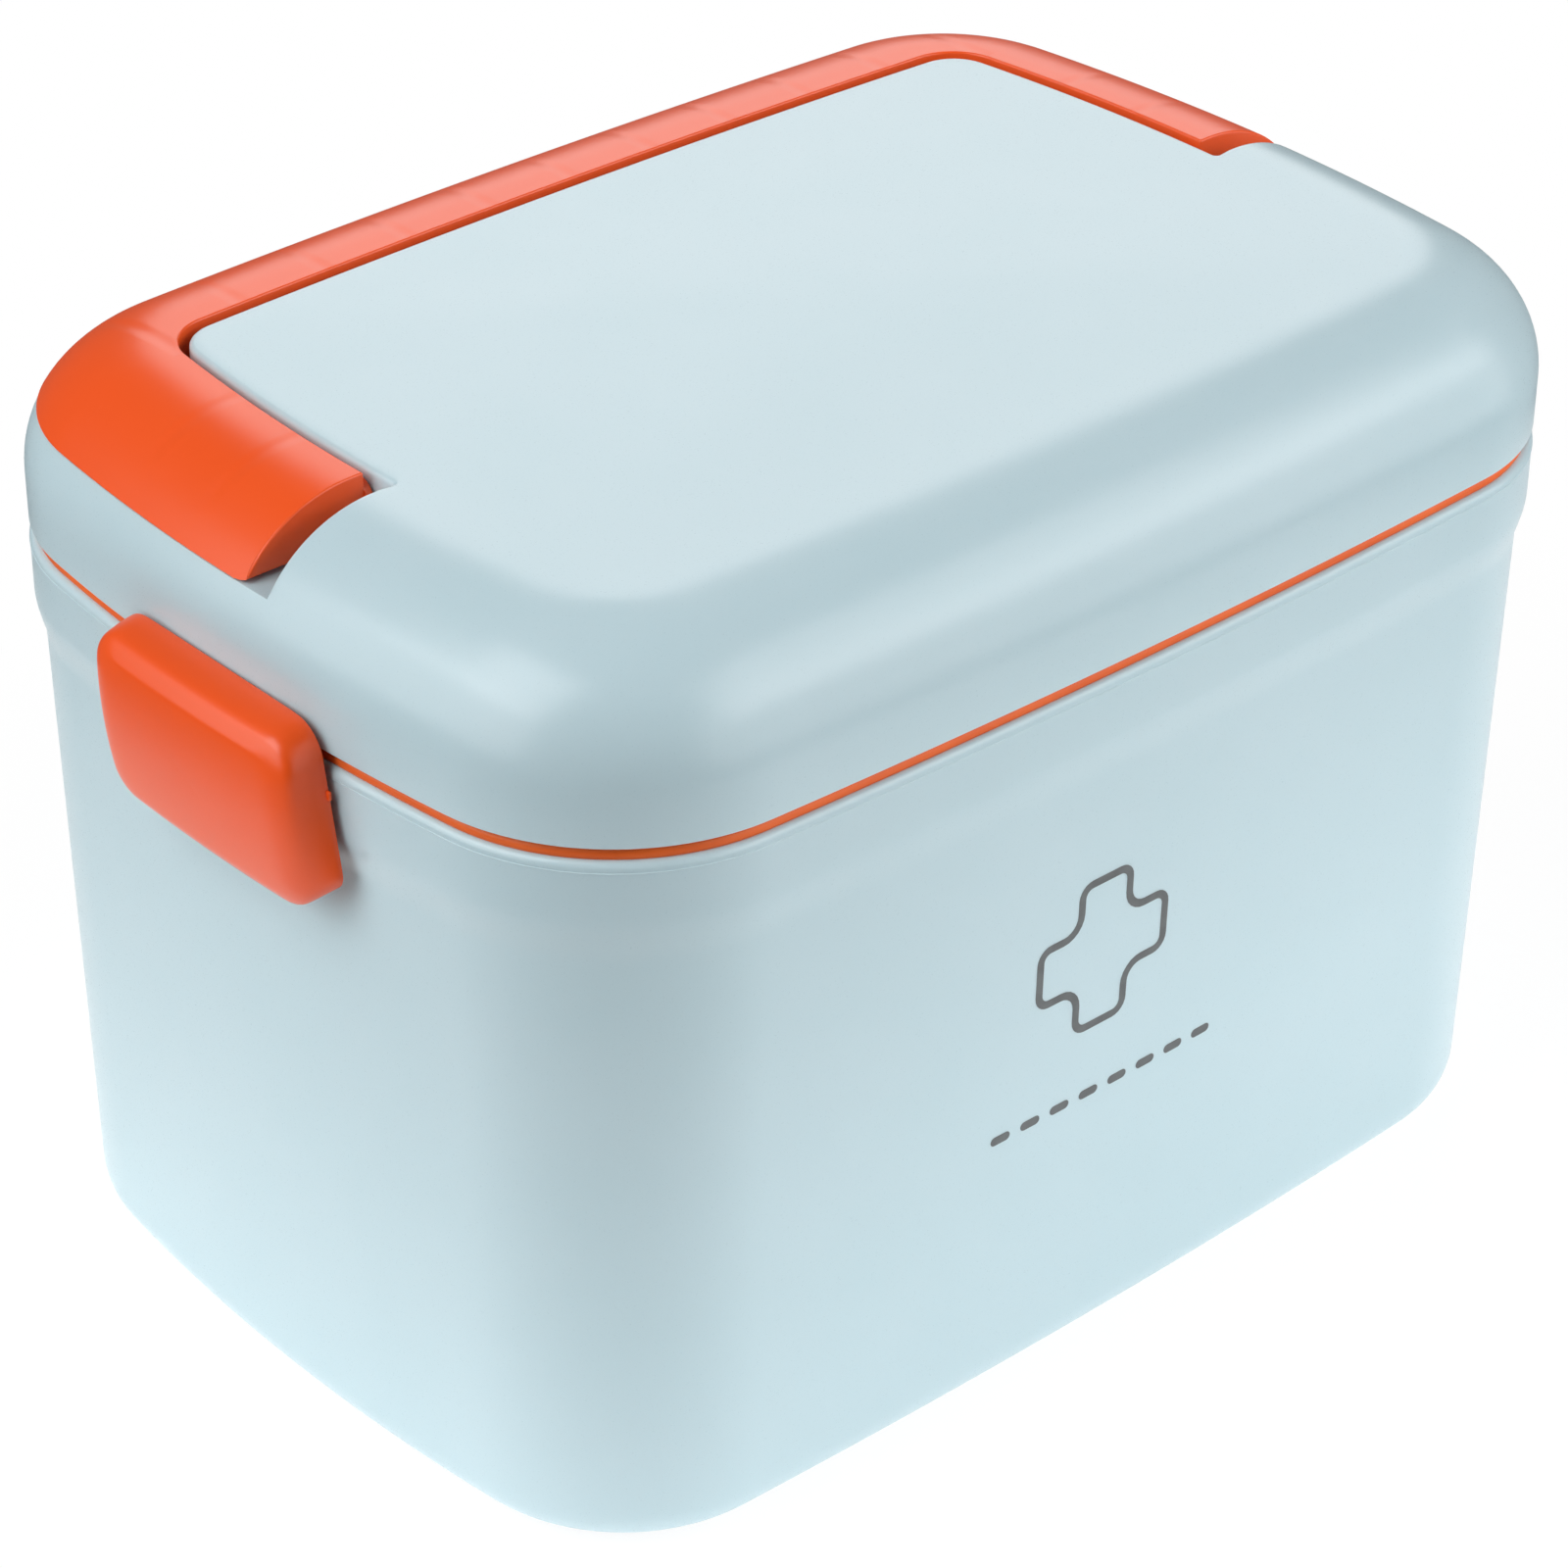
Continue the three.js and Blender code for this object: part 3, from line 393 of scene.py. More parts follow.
def boxMesh(low, high):
    corners = [(x, y, z) for z in (low[2], high[2]) for x, y in
               ((low[0], low[1]), (high[0], low[1]), (high[0], high[1]), (low[0], high[1]))]
    return meshFrom([np.array(corners[:4]), np.array(corners[4:])])


def rodMesh(axis, start, end, centre, radius, sides=64, chamfer=0.0):
    # a round bar along X or Y, its ends bevelled by the chamfer
    angles = 2 * math.pi * np.arange(sides) / sides
    rings = []
    for along, size in ((start, radius - chamfer), (start + chamfer, radius),
                        (end - chamfer, radius), (end, radius - chamfer)):
        first, second = centre[0] + size * np.cos(angles), centre[1] + size * np.sin(angles)
        flat = np.full(sides, along)
        rings.append(np.column_stack(
            (flat, first, second) if axis == "x" else (first, flat, second)))
    if axis == "y":
        rings = rings[::-1]
    return meshFrom(rings if chamfer else [rings[0], rings[-1]])


def evaluated(obj):
    graph = bpy.context.evaluated_depsgraph_get()
    mesh = bpy.data.meshes.new_from_object(obj.evaluated_get(graph), depsgraph=graph)
    bpy.data.objects.remove(obj)
    return mesh


def carried(mesh):
    obj = bpy.data.objects.new("work", mesh)
    bpy.context.scene.collection.objects.link(obj)
    return obj


def combined(base, tool, operation, solver="MANIFOLD"):
    # joins, cuts or trims two closed meshes
    first, second = carried(base), carried(tool)
    step = first.modifiers.new("step", "BOOLEAN")
    step.operation, step.solver, step.object = operation, solver, second
    bpy.context.view_layer.update()
    mesh = evaluated(first)
    bpy.data.objects.remove(second)
    return mesh


def joinedTo(base, *tools):
    for tool in tools:
        base = combined(base, tool, "UNION")
    return base


def cutFrom(base, *tools):
    for tool in tools:
        base = combined(base, tool, "DIFFERENCE")
    return base


def trimmedBy(base, tool):
    return combined(base, tool, "INTERSECT")


def softened(mesh, radius, limit="ANGLE", angle=50):
    # rounds the edges that are sharper than the angle, or every edge with the limit "NONE"
    obj = carried(mesh)
    soft = obj.modifiers.new("soft", "BEVEL")
    soft.width, soft.segments = radius * mm, 3
    soft.limit_method, soft.angle_limit = limit, math.radians(angle)
    bpy.context.view_layer.update()
    return evaluated(obj)


def turned(mesh):
    # a copy of the left-hand part turned half round, for the right-hand side
    copy = mesh.copy()
    copy.transform(Matrix.Rotation(math.pi, 4, "Z"))
    return copy


def finished(name, mesh, material, body, slot, *nodes, sharp=32):
    # names the piece, smooths all but its sharp edges and lets it ride on its body
    mesh.name = name
    mesh.materials.clear()
    mesh.materials.append(material)
    for face in mesh.polygons:
        face.material_index = 0
        face.use_smooth = True
    mesh.set_sharp_from_angle(angle=math.radians(sharp))
    piece = bpy.data.objects.new(name, mesh)
    bpy.context.scene.collection.objects.link(piece)
    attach(piece, body)
    if nodes:
        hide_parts(*nodes)
    print("made", name, len(mesh.polygons), "faces")
    return piece


# Geometry Nodes: each tree gets its sizes as named inputs

def newTree(name, **sizes):
    tree = bpy.data.node_groups.new(name, "GeometryNodeTree")
    tree.interface.new_socket("Geometry", in_out="INPUT", socket_type="NodeSocketGeometry")
    tree.interface.new_socket("Geometry", in_out="OUTPUT", socket_type="NodeSocketGeometry")
    for label, kind in sizes.items():
        tree.interface.new_socket(label, in_out="INPUT", socket_type="NodeSocket" + kind)
    return tree, addNode(tree, "NodeGroupInput")


def endTree(tree, geometry, material):
    real = addNode(tree, "GeometryNodeRealizeInstances", {"Geometry": geometry})
    painted = addNode(tree, "GeometryNodeSetMaterial", {
        "Geometry": real.outputs["Geometry"], "Material": material,
    })
    addNode(tree, "NodeGroupOutput", {"Geometry": painted.outputs["Geometry"]})
    return tree


def grown(tree, mesh, **sizes):
    # runs a tree on a mesh and gives back what it made, as a plain mesh
    obj = carried(mesh)
    maker = obj.modifiers.new("maker", "NODES")
    maker.node_group = tree
    for item in tree.interface.items_tree:
        if item.in_out == "INPUT" and item.name in sizes:
            maker[item.identifier] = sizes[item.name]
    obj.update_tag()
    bpy.context.view_layer.update()
    return evaluated(obj)


def edgeLoop(points):
    mesh = bpy.data.meshes.new("path")
    count = len(points)
    mesh.from_pydata([tuple(c * mm for c in p) for p in points],
                     [(i, (i + 1) % count) for i in range(count)], [])
    return mesh


def sweptLineTree(material):
    # a rounded bar that follows a closed line
    tree, given = newTree("sweptLine", width="Float", height="Float", rounding="Float")
    path = addNode(tree, "GeometryNodeMeshToCurve", {"Mesh": given.outputs["Geometry"]})
    upright = addNode(tree, "GeometryNodeSetCurveNormal", {"Curve": path.outputs["Curve"]},
                      mode="Z_UP")
    section = addNode(tree, "GeometryNodeCurvePrimitiveQuadrilateral", {
        "Width": given.outputs["width"], "Height": given.outputs["height"],
    })
    soft = addNode(tree, "GeometryNodeFilletCurve", {
        "Curve": section.outputs["Curve"], "Radius": given.outputs["rounding"],
        "Count": 5,
    }, mode="POLY")
    bar = addNode(tree, "GeometryNodeCurveToMesh", {
        "Curve": upright.outputs["Curve"], "Profile Curve": soft.outputs["Curve"],
    })
    return endTree(tree, bar.outputs["Mesh"], material)


def ribRowTree(material):
    # upright ribs of one size at an even pitch along X or Y
    tree, given = newTree("ribRow", count="Int", start="Vector", pitch="Vector", size="Vector")
    row = addNode(tree, "GeometryNodeMeshLine", {
        "Count": given.outputs["count"], "Start Location": given.outputs["start"],
        "Offset": given.outputs["pitch"],
    })
    rib = addNode(tree, "GeometryNodeMeshCube", {"Size": given.outputs["size"]})
    ribs = addNode(tree, "GeometryNodeInstanceOnPoints", {
        "Points": row.outputs["Mesh"], "Instance": rib.outputs["Mesh"],
    })
    return endTree(tree, ribs.outputs["Instances"], material)


def ribRow(tree, count, low, high, pitch):
    # the first rib's corners and the step to the next one, in millimetres
    middle, size = (np.array(low) + high) / 2, np.array(high) - low
    return grown(tree, bpy.data.meshes.new("none"), count=count, start=tuple(middle * mm),
                 pitch=tuple(np.array(pitch) * mm), size=tuple(size * mm))


# Tub

tub = {
    "rimHeight": cornersOf("tub_shell")[1][2],
    "baseFillet": 10.0, "baseOffset": -2.7, "footOffset": -0.5,
    "flareDrop": 19.1, "flareHeight": 8.5, "bandOffset": 0.98,
    "rimFillet": 1.15, "wall": 2.2, "floor": 2.4, "innerFillet": 8.0, "rimInner": -3.0,
    "recessInset": 16.0, "recessDepth": 1.0,
    "grooveOuter": -0.9, "grooveInner": -2.2, "grooveDepth": 2.6,
    "supportOffset": -7.4, "supportThickness": 2.4, "supportX": 66.0, "supportY": 28.0,
    "supportTop": 130.9, "slotHalf": 1.1, "slotRib": 1.4, "slotTop": 64.4, "plateCorner": 9.0,
    "lipChamfer": 0.5,
    # the parting line of the tool: a hair-thin ridge just below the rim
    "witnessDrop": 1.75, "witnessSize": 0.3, "witnessHeight": 0.24, "witnessRounding": 0.11,
    "witnessProud": 0.11,
}
tub["flareFoot"] = tub["rimHeight"] - tub["flareDrop"]


def tubRuleTree():
    # the tub's outer wall: a straight prism that is drafted, flared and rounded by its height
    tree, given = newTree(
        "tubRule", baseFillet="Float", baseOffset="Float", footOffset="Float",
        flareFoot="Float", flareHeight="Float", bandOffset="Float", rimHeight="Float",
        rimFillet="Float",
    )
    place = addNode(tree, "GeometryNodeInputPosition").outputs["Position"]
    height = addNode(tree, "ShaderNodeSeparateXYZ", {"Vector": place}).outputs["Z"]
    outward = addNode(tree, "GeometryNodeInputNamedAttribute", {"Name": "outward"},
                      data_type="FLOAT_VECTOR").outputs[0]

    def rounding(reach, radius):
        # how far a fillet of this radius draws in, at a reach past its start
        inside = addNode(tree, "ShaderNodeMath", {0: reach, 1: 0.0}, operation="MAXIMUM")
        whole = addNode(tree, "ShaderNodeMath", {0: radius, 1: radius}, operation="MULTIPLY")
        gone = addNode(tree, "ShaderNodeMath", {0: inside, 1: inside}, operation="MULTIPLY")
        rest = addNode(tree, "ShaderNodeMath", {0: whole, 1: gone}, operation="SUBTRACT")
        safe = addNode(tree, "ShaderNodeMath", {0: rest, 1: 0.0}, operation="MAXIMUM")
        root = addNode(tree, "ShaderNodeMath", {0: safe, 1: 0.5}, operation="POWER")
        return addNode(tree, "ShaderNodeMath", {0: radius, 1: root}, operation="SUBTRACT")

    draft = addNode(tree, "ShaderNodeMapRange", {
        "Value": height, "From Min": given.outputs["baseFillet"],
        "From Max": given.outputs["flareFoot"], "To Min": given.outputs["baseOffset"],
        "To Max": given.outputs["footOffset"],
    })
    flareTop = addNode(tree, "ShaderNodeMath", {
        0: given.outputs["flareFoot"], 1: given.outputs["flareHeight"],
    }, operation="ADD")
    step = addNode(tree, "ShaderNodeMath", {
        0: given.outputs["bandOffset"], 1: given.outputs["footOffset"],
    }, operation="SUBTRACT")
    flare = addNode(tree, "ShaderNodeMapRange", {
        "Value": height, "From Min": given.outputs["flareFoot"], "From Max": flareTop,
        "To Min": 0.0, "To Max": step,
    }, interpolation_type="SMOOTHSTEP")
    belowFoot = addNode(tree, "ShaderNodeMath", {0: given.outputs["baseFillet"], 1: height},
                        operation="SUBTRACT")
    foot = rounding(belowFoot, given.outputs["baseFillet"])
    lipStart = addNode(tree, "ShaderNodeMath", {
        0: given.outputs["rimHeight"], 1: given.outputs["rimFillet"],
    }, operation="SUBTRACT")
    pastLip = addNode(tree, "ShaderNodeMath", {0: height, 1: lipStart}, operation="SUBTRACT")
    lip = rounding(pastLip, given.outputs["rimFillet"])
    wall = addNode(tree, "ShaderNodeMath", {0: draft, 1: flare}, operation="ADD")
    standing = addNode(tree, "ShaderNodeMath", {0: wall, 1: foot}, operation="SUBTRACT")
    offset = addNode(tree, "ShaderNodeMath", {0: standing, 1: lip}, operation="SUBTRACT")
    shift = addNode(tree, "ShaderNodeVectorMath", {0: outward, "Scale": offset},
                    operation="SCALE")
    moved = addNode(tree, "GeometryNodeSetPosition", {
        "Geometry": given.outputs["Geometry"], "Offset": shift.outputs["Vector"],
    })
    return endTree(tree, moved.outputs["Geometry"], paleBlue)


def quarterTurn(steps):
    return (math.pi / 2) * np.arange(steps + 1) / steps


def tubOuter():
    heights = np.concatenate([
        tub["baseFillet"] * (1 - np.cos(quarterTurn(14))),
        np.linspace(tub["baseFillet"], tub["flareFoot"], 24)[1:],
        tub["flareFoot"] + np.linspace(0, tub["flareHeight"], 20)[1:],
        np.linspace(tub["flareFoot"] + tub["flareHeight"],
                    tub["rimHeight"] - tub["rimFillet"], 6)[1:],
        tub["rimHeight"] - tub["rimFillet"] * (1 - np.sin(quarterTurn(8)[1:])),
    ])
    mesh = meshFrom([ring(0, z) for z in heights])
    ways = np.zeros((len(mesh.vertices), 3))
    ways[:-2, :2] = np.tile(outlineWays, (len(heights), 1))
    outward = mesh.attributes.new("outward", "FLOAT_VECTOR", "POINT")
    outward.data.foreach_set("vector", ways.ravel())
    sizes = {key: tub[key] * mm for key in (
        "baseFillet", "baseOffset", "footOffset", "flareFoot", "flareHeight", "bandOffset",
        "rimHeight", "rimFillet",
    )}
    return grown(tubRuleTree(), mesh, **sizes)


def filletRings(wallOffset, floor, radius, steps=8):
    return [ring(wallOffset - radius * (1 - math.sin(t)), floor + radius * (1 - math.cos(t)))
            for t in quarterTurn(steps)]


def tubInnerOffset(z):
    share = (z - tub["baseFillet"]) / (tub["flareFoot"] - tub["baseFillet"])
    wall = tub["baseOffset"] + (tub["footOffset"] - tub["baseOffset"]) * share
    return min(wall - tub["wall"], tub["rimInner"])


def makeTub():
    filled = tubOuter()
    start = tub["floor"] + tub["innerFillet"]
    cavity = meshFrom([
        *filletRings(tubInnerOffset(start), tub["floor"], tub["innerFillet"]),
        ring(tub["rimInner"], tub["flareFoot"]),
        ring(tub["rimInner"], tub["rimHeight"] - tub["lipChamfer"]),
        ring(tub["rimInner"] + tub["lipChamfer"], tub["rimHeight"] + 0.02),
        ring(tub["rimInner"] + tub["lipChamfer"], farAway),
    ])
    underside = meshFrom([
        ring(tub["baseOffset"] - tub["recessInset"], -past),
        ring(tub["baseOffset"] - tub["recessInset"], tub["recessDepth"]),
    ])
    grooveLow = tub["rimHeight"] - tub["grooveDepth"]
    groove = meshFrom([
        ring(tub["grooveOuter"], grooveLow), ring(tub["grooveOuter"], tub["rimHeight"] + past),
        ring(tub["grooveInner"], tub["rimHeight"] + past), ring(tub["grooveInner"], grooveLow),
    ], loop=True)
    core = meshFrom([ring(tub["supportOffset"], 0), ring(tub["supportOffset"], farAway)])
    tree = ribRowTree(paleBlue)
    halfRib, low = tub["supportThickness"] / 2, tub["floor"] / 2
    supports = joinedTo(
        ribRow(tree, 2, (-tub["supportX"] - halfRib, -farAway, low),
               (-tub["supportX"] + halfRib, farAway, tub["supportTop"]),
               (2 * tub["supportX"], 0, 0)),
        ribRow(tree, 2, (-farAway, -tub["supportY"] - halfRib, low),
               (farAway, -tub["supportY"] + halfRib, tub["supportTop"]),
               (0, 2 * tub["supportY"], 0)),
        ribRow(tree, 2, (-tub["slotHalf"] - tub["slotRib"], -farAway, low),
               (-tub["slotHalf"], farAway, tub["slotTop"]),
               (2 * tub["slotHalf"] + tub["slotRib"], 0, 0)),
    )
    ribs = trimmedBy(cutFrom(supports, core), filled)
    lugs = latchLugs()
    shell = cutFrom(filled, cavity, groove, underside)
    ridge = grown(
        sweptLineTree(paleBlue),
        edgeLoop(ring(tub["bandOffset"] + tub["witnessProud"] - tub["witnessSize"] / 2,
                      tub["rimHeight"] - tub["witnessDrop"])),
        width=tub["witnessSize"] * mm, height=tub["witnessHeight"] * mm,
        rounding=tub["witnessRounding"] * mm)
    return joinedTo(shell, ribs, lugs, turned(lugs), ridge)


# Latches: u is the distance outwards from the outline at mid side

latch = {
    "top": 144.5, "bottom": 111.5, "topHalf": 25.9, "bottomHalf": 29.4,
    "topRadius": 6.5, "bottomRadius": 3.5, "backBottom": 116.3, "backU": 1.4, "backFlat": 0.8,
    "faceHalf": 25.0, "faceTop": 142.8, "faceTopRadius": 5.5, "faceBottomRadius": 5.0,
    "depth": 9.8, "peak": 135.5, "faceRadius": 92.0, "bowRadius": 420.0,
    "wall": 2.2, "pivotU": 2.2, "pivotHeight": 118.0, "boreRadius": 1.3,
    # the cage of the smooth pad, from its flank over the ridge to its face: how far each ring lies
    # under the face's surface, and the share of the face's size of those inside the ridge
    "flankMix": 0.55, "ridgeInset": 2.3, "flankDrop": 2.7, "edgeDrop": 1.2, "ridgeDrop": 0.3,
    "faceShares": (0.82, 0.66, 0.5, 0.33, 0.16),
    "gateHeight": 133.4, "gateHalf": 0.75, "gateThickness": 0.5, "gateProud": 0.2,
    "gateRoot": 0.8, "gateRounding": 0.15,
    "ribInner": 20.4, "ribThickness": 2.2, "ribRise": 4.4,
    "lugSpacing": 16.0, "lugThickness": 4.0, "lugRadius": 1.9, "lugRoot": 1.6,
    "nibHalf": 14.0, "nibThickness": 1.6, "nibTip": 0.1, "nibRoot": 1.0, "nibDrop": 1.6,
    "turnGap": 0.3,
    "sharp": 40,              # degrees, past which an edge isn't shaded smooth
}


def extrusion(outline, axis, start, end):
    # a flat outline of (first, z) points, drawn out along Y or X
    rings = []
    for along in (start, end):
        flat = np.full(len(outline), along)
        if axis == "y":
            rings.append(np.column_stack([outline[:, 0], flat, outline[:, 1]]))
        else:
            rings.append(np.column_stack([flat, outline[:, 0], outline[:, 1]]))
    return facingOut(meshFrom(rings))


def facingOut(mesh):
    work = bmesh.new()
    work.from_mesh(mesh)
    bmesh.ops.recalc_face_normals(work, faces=work.faces)
    work.to_mesh(mesh)
    work.free()
    return mesh


def latchBore(half):
    centre = (-plan["halfWidth"] - latch["pivotU"], latch["pivotHeight"])
    return rodMesh("y", -half, half, centre, latch["boreRadius"], 40)


def latchLugs():
    pivotX, pivotZ = -plan["halfWidth"] - latch["pivotU"], latch["pivotHeight"]
    root = -plan["halfWidth"] + latch["lugRoot"]
    turns = math.pi / 2 + np.pi * np.arange(17) / 16
    nose = np.column_stack([pivotX + latch["lugRadius"] * np.cos(turns),
                            pivotZ + latch["lugRadius"] * np.sin(turns)])
    profile = np.concatenate([[[root, pivotZ + latch["lugRadius"]]], nose,
                              [[root, pivotZ - latch["lugRadius"]]]])
    lugs = [extrusion(profile, "y", side * latch["lugSpacing"] - latch["lugThickness"] / 2,
                      side * latch["lugSpacing"] + latch["lugThickness"] / 2) for side in (-1, 1)]
    return cutFrom(joinedTo(*lugs), latchBore(farAway))


def latchOutline(size, cornerSteps=6, edgeSteps=8):
    corners = (
        (size["bottomHalf"], size["bottom"], size["bottomRadius"], 1),
        (size["topHalf"], size["top"], size["topRadius"], -1),
        (-size["topHalf"], size["top"], size["topRadius"], -1),
        (-size["bottomHalf"], size["bottom"], size["bottomRadius"], 1),
    )
    arcs = []
    for index, (y, z, radius, up) in enumerate(corners):
        turns = (math.pi / 2) * (index - 1 + np.arange(cornerSteps + 1) / cornerSteps)
        arcs.append(np.column_stack([y - math.copysign(radius, y) + radius * np.cos(turns),
                                     z + up * radius + radius * np.sin(turns)]))
    outline = []
    for index, arc in enumerate(arcs):
        after = arcs[(index + 1) % 4][0]
        outline.extend(arc)
        outline.extend(arc[-1] + (after - arc[-1]) * k / edgeSteps for k in range(1, edgeSteps))
    return np.array(outline)


def latchFace(points, lower):
    rise = (points[:, 1] - latch["peak"]) ** 2 / (2 * latch["faceRadius"])
    bow = points[:, 0] ** 2 / (2 * latch["bowRadius"])
    return latch["depth"] - rise - bow - lower


def latchPad(depth):
    # the crowned pad, or at a depth the hollow inside it
    back = latchOutline({
        "topHalf": latch["topHalf"] - depth, "bottomHalf": latch["bottomHalf"] - depth,
        "top": latch["top"] - depth, "bottom": latch["backBottom"] + depth,
        "topRadius": latch["topRadius"] - depth, "bottomRadius": latch["bottomRadius"] - depth / 2,
    })

    def faceOutline(inset):
        half = latch["faceHalf"] - depth - inset
        return latchOutline({
            "topHalf": half, "bottomHalf": half,
            "top": latch["faceTop"] - depth - inset, "bottom": latch["bottom"] + depth + inset,
            "topRadius": latch["faceTopRadius"] - (depth + inset) / 2,
            "bottomRadius": latch["faceBottomRadius"] - (depth + inset) / 2,
        })

    def at(points, u):
        return np.column_stack([-plan["halfWidth"] - u * np.ones(len(points)), points])[::-1]

    face = faceOutline(0)
    middle = np.array([0, (latch["faceTop"] + latch["bottom"]) / 2])
    start = latch["backU"] - (latch["wall"] if depth else 0)
    flank = back + (face - back) * latch["flankMix"]
    ridge = faceOutline(latch["ridgeInset"])
    rings = [at(back, start), at(back, latch["backU"] + latch["backFlat"]),
             at(flank, latchFace(flank, depth + latch["flankDrop"])),
             at(face, latchFace(face, depth + latch["edgeDrop"])),
             at(ridge, latchFace(ridge, depth + latch["ridgeDrop"]))]
    for share in latch["faceShares"]:
        moved = middle + (face - middle) * share
        rings.append(at(moved, latchFace(moved, depth)))
    pad = facingOut(meshFrom(rings))
    obj = carried(pad)
    crease = pad.attributes.new("crease_edge", "FLOAT", "EDGE")
    count = len(back)
    crease.data.foreach_set("value", [
        1.0 if max(edge.vertices) < count else 0.0 for edge in pad.edges])
    smooth = obj.modifiers.new("soft", "SUBSURF")
    smooth.levels = smooth.render_levels = 2
    bpy.context.view_layer.update()
    return evaluated(obj)


def makeLatch():
    wallX = -plan["halfWidth"]
    pad = latchPad(0)
    lugReach = latch["lugRadius"] + latch["turnGap"]
    openBottom = boxMesh((wallX - latch["pivotU"] - lugReach, -latch["ribInner"], 0),
                         (0, latch["ribInner"], latch["pivotHeight"] + lugReach))
    ribs = ribRow(ribRowTree(orange), 2,
                  (wallX - latch["depth"], -latch["ribInner"] - latch["ribThickness"], 0),
                  (0, -latch["ribInner"], latch["pivotHeight"] + latch["ribRise"]),
                  (0, 2 * latch["ribInner"] + latch["ribThickness"], 0))
    nib = boxMesh(
        (wallX - latch["backU"] - latch["nibRoot"], -latch["nibHalf"],
         latch["top"] - latch["nibDrop"] - latch["nibThickness"]),
        (wallX - latch["nibTip"], latch["nibHalf"], latch["top"] - latch["nibDrop"]))
    hollow = cutFrom(pad.copy(), latchPad(latch["wall"]))
    # what is left of the gate, snapped off at the edge of one side
    share = (latch["gateHeight"] - latch["backBottom"]) / (latch["top"] - latch["backBottom"])
    edgeY = latch["bottomHalf"] + (latch["topHalf"] - latch["bottomHalf"]) * share
    gate = softened(boxMesh(
        (wallX - latch["backU"] - latch["gateThickness"], -edgeY - latch["gateProud"],
         latch["gateHeight"] - latch["gateHalf"]),
        (wallX - latch["backU"], latch["gateRoot"] - edgeY,
         latch["gateHeight"] + latch["gateHalf"])), latch["gateRounding"])
    return cutFrom(
        joinedTo(cutFrom(joinedTo(hollow, trimmedBy(ribs, pad)), openBottom), nib, gate),
        latchBore(latch["ribInner"] + latch["ribThickness"] + 0.5))


finished("paleTub", makeTub(), paleBlue, "tub", "tub_plastic", "tub_shell")
leftLatch = makeLatch()
rightLatch = turned(leftLatch)
finished("latchLeft", leftLatch, orange, "left_latch", "orange_plastic", "latch_left",
         sharp=latch["sharp"])
finished("latchRight", rightLatch, orange, "right_latch", "orange_plastic", "latch_right",
         sharp=latch["sharp"])


# Seal: a flat ring with a foot in the rim's groove

seal = {
    "low": 136.7, "top": 138.9, "outer": -0.1, "inner": -2.8, "rounding": 0.95,
    "footOuter": -1.1, "footInner": -2.0, "footBottom": 134.7, "footRise": 1.0,
    "footRounding": 0.2,
}


def makeSeal():
    tree = sweptLineTree(sealOrange)
    parts = []
    for outer, inner, low, top, rounding in (
        (seal["outer"], seal["inner"], seal["low"], seal["top"], seal["rounding"]),
        (seal["footOuter"], seal["footInner"], seal["footBottom"], seal["low"] + seal["footRise"],
         seal["footRounding"]),
    ):
        parts.append(grown(
            tree, edgeLoop(ring((outer + inner) / 2, (low + top) / 2)),
            width=(outer - inner) * mm, height=(top - low) * mm, rounding=rounding * mm))
    return joinedTo(*parts)


finished("sealLine", makeSeal(), sealOrange, "tub", "seal_rubber", "seal_ring")


# Lid

lid = {
    "edge": 139.5, "offset": 0.9, "edgeFillet": 0.35, "wall": 2.4,
    "shoulderStart": 148.5, "shoulderWidth": 23.5, "shoulderHeight": 21.0,
    "skirtBottom": 133.9, "skirtOuter": -3.4, "skirtInner": -5.0, "skirtLedge": 3.0,
    "recessFloor": 158.4, "panelSide": 26.9, "panelBack": 28.4, "panelCorner": 8.0,
    "recessFront": 8.6, "recessCorner": 0.7, "panelRounding": 0.95, "crestRounding": 0.3,
    "panelEase": 3.0,         # over which the panel's rounding turns into the crest's
    "catchHalf": 14.6, "catchTop": 143.5, "catchDepth": 0.5,
    "pinRadius": 1.9, "pivotY": -0.6, "pivotHeight": 164.6,
    "crownShares": (0.97, 0.93, 0.86, 0.78, 0.68, 0.55, 0.4, 0.25, 0.1),   # rings of the crown
}
lid["top"] = lid["shoulderStart"] + lid["shoulderHeight"]
lid["crown"] = cornersOf("lid_shell")[1][2] - lid["top"]
lid["rimOffset"] = lid["offset"] - lid["shoulderWidth"]
lid["panelX"] = plan["halfWidth"] - lid["panelSide"]

crownRim = outlinePoints + outlineWays * lid["rimOffset"]
crownTurns = np.arctan2(crownRim[:, 1], crownRim[:, 0])
crownOrder = np.argsort(crownTurns)


def lidHeight(points):
    # the height of the lid's outer skin over a point of the plan
    offset = offsetOf(points)
    along = np.clip((offset - lid["rimOffset"]) / lid["shoulderWidth"], 0, 1)
    shoulder = lid["shoulderStart"] + lid["shoulderHeight"] * np.sqrt(1 - along ** 2)
    reach = np.interp(np.arctan2(points[:, 1], points[:, 0]), crownTurns[crownOrder],
                      np.linalg.norm(crownRim, axis=1)[crownOrder], period=2 * math.pi)
    share = np.clip(np.linalg.norm(points, axis=1) / reach, 0, 1)
    crown = lid["top"] + lid["crown"] * (1 - share ** 2) ** 2
    return np.where(offset > lid["rimOffset"], shoulder, crown)


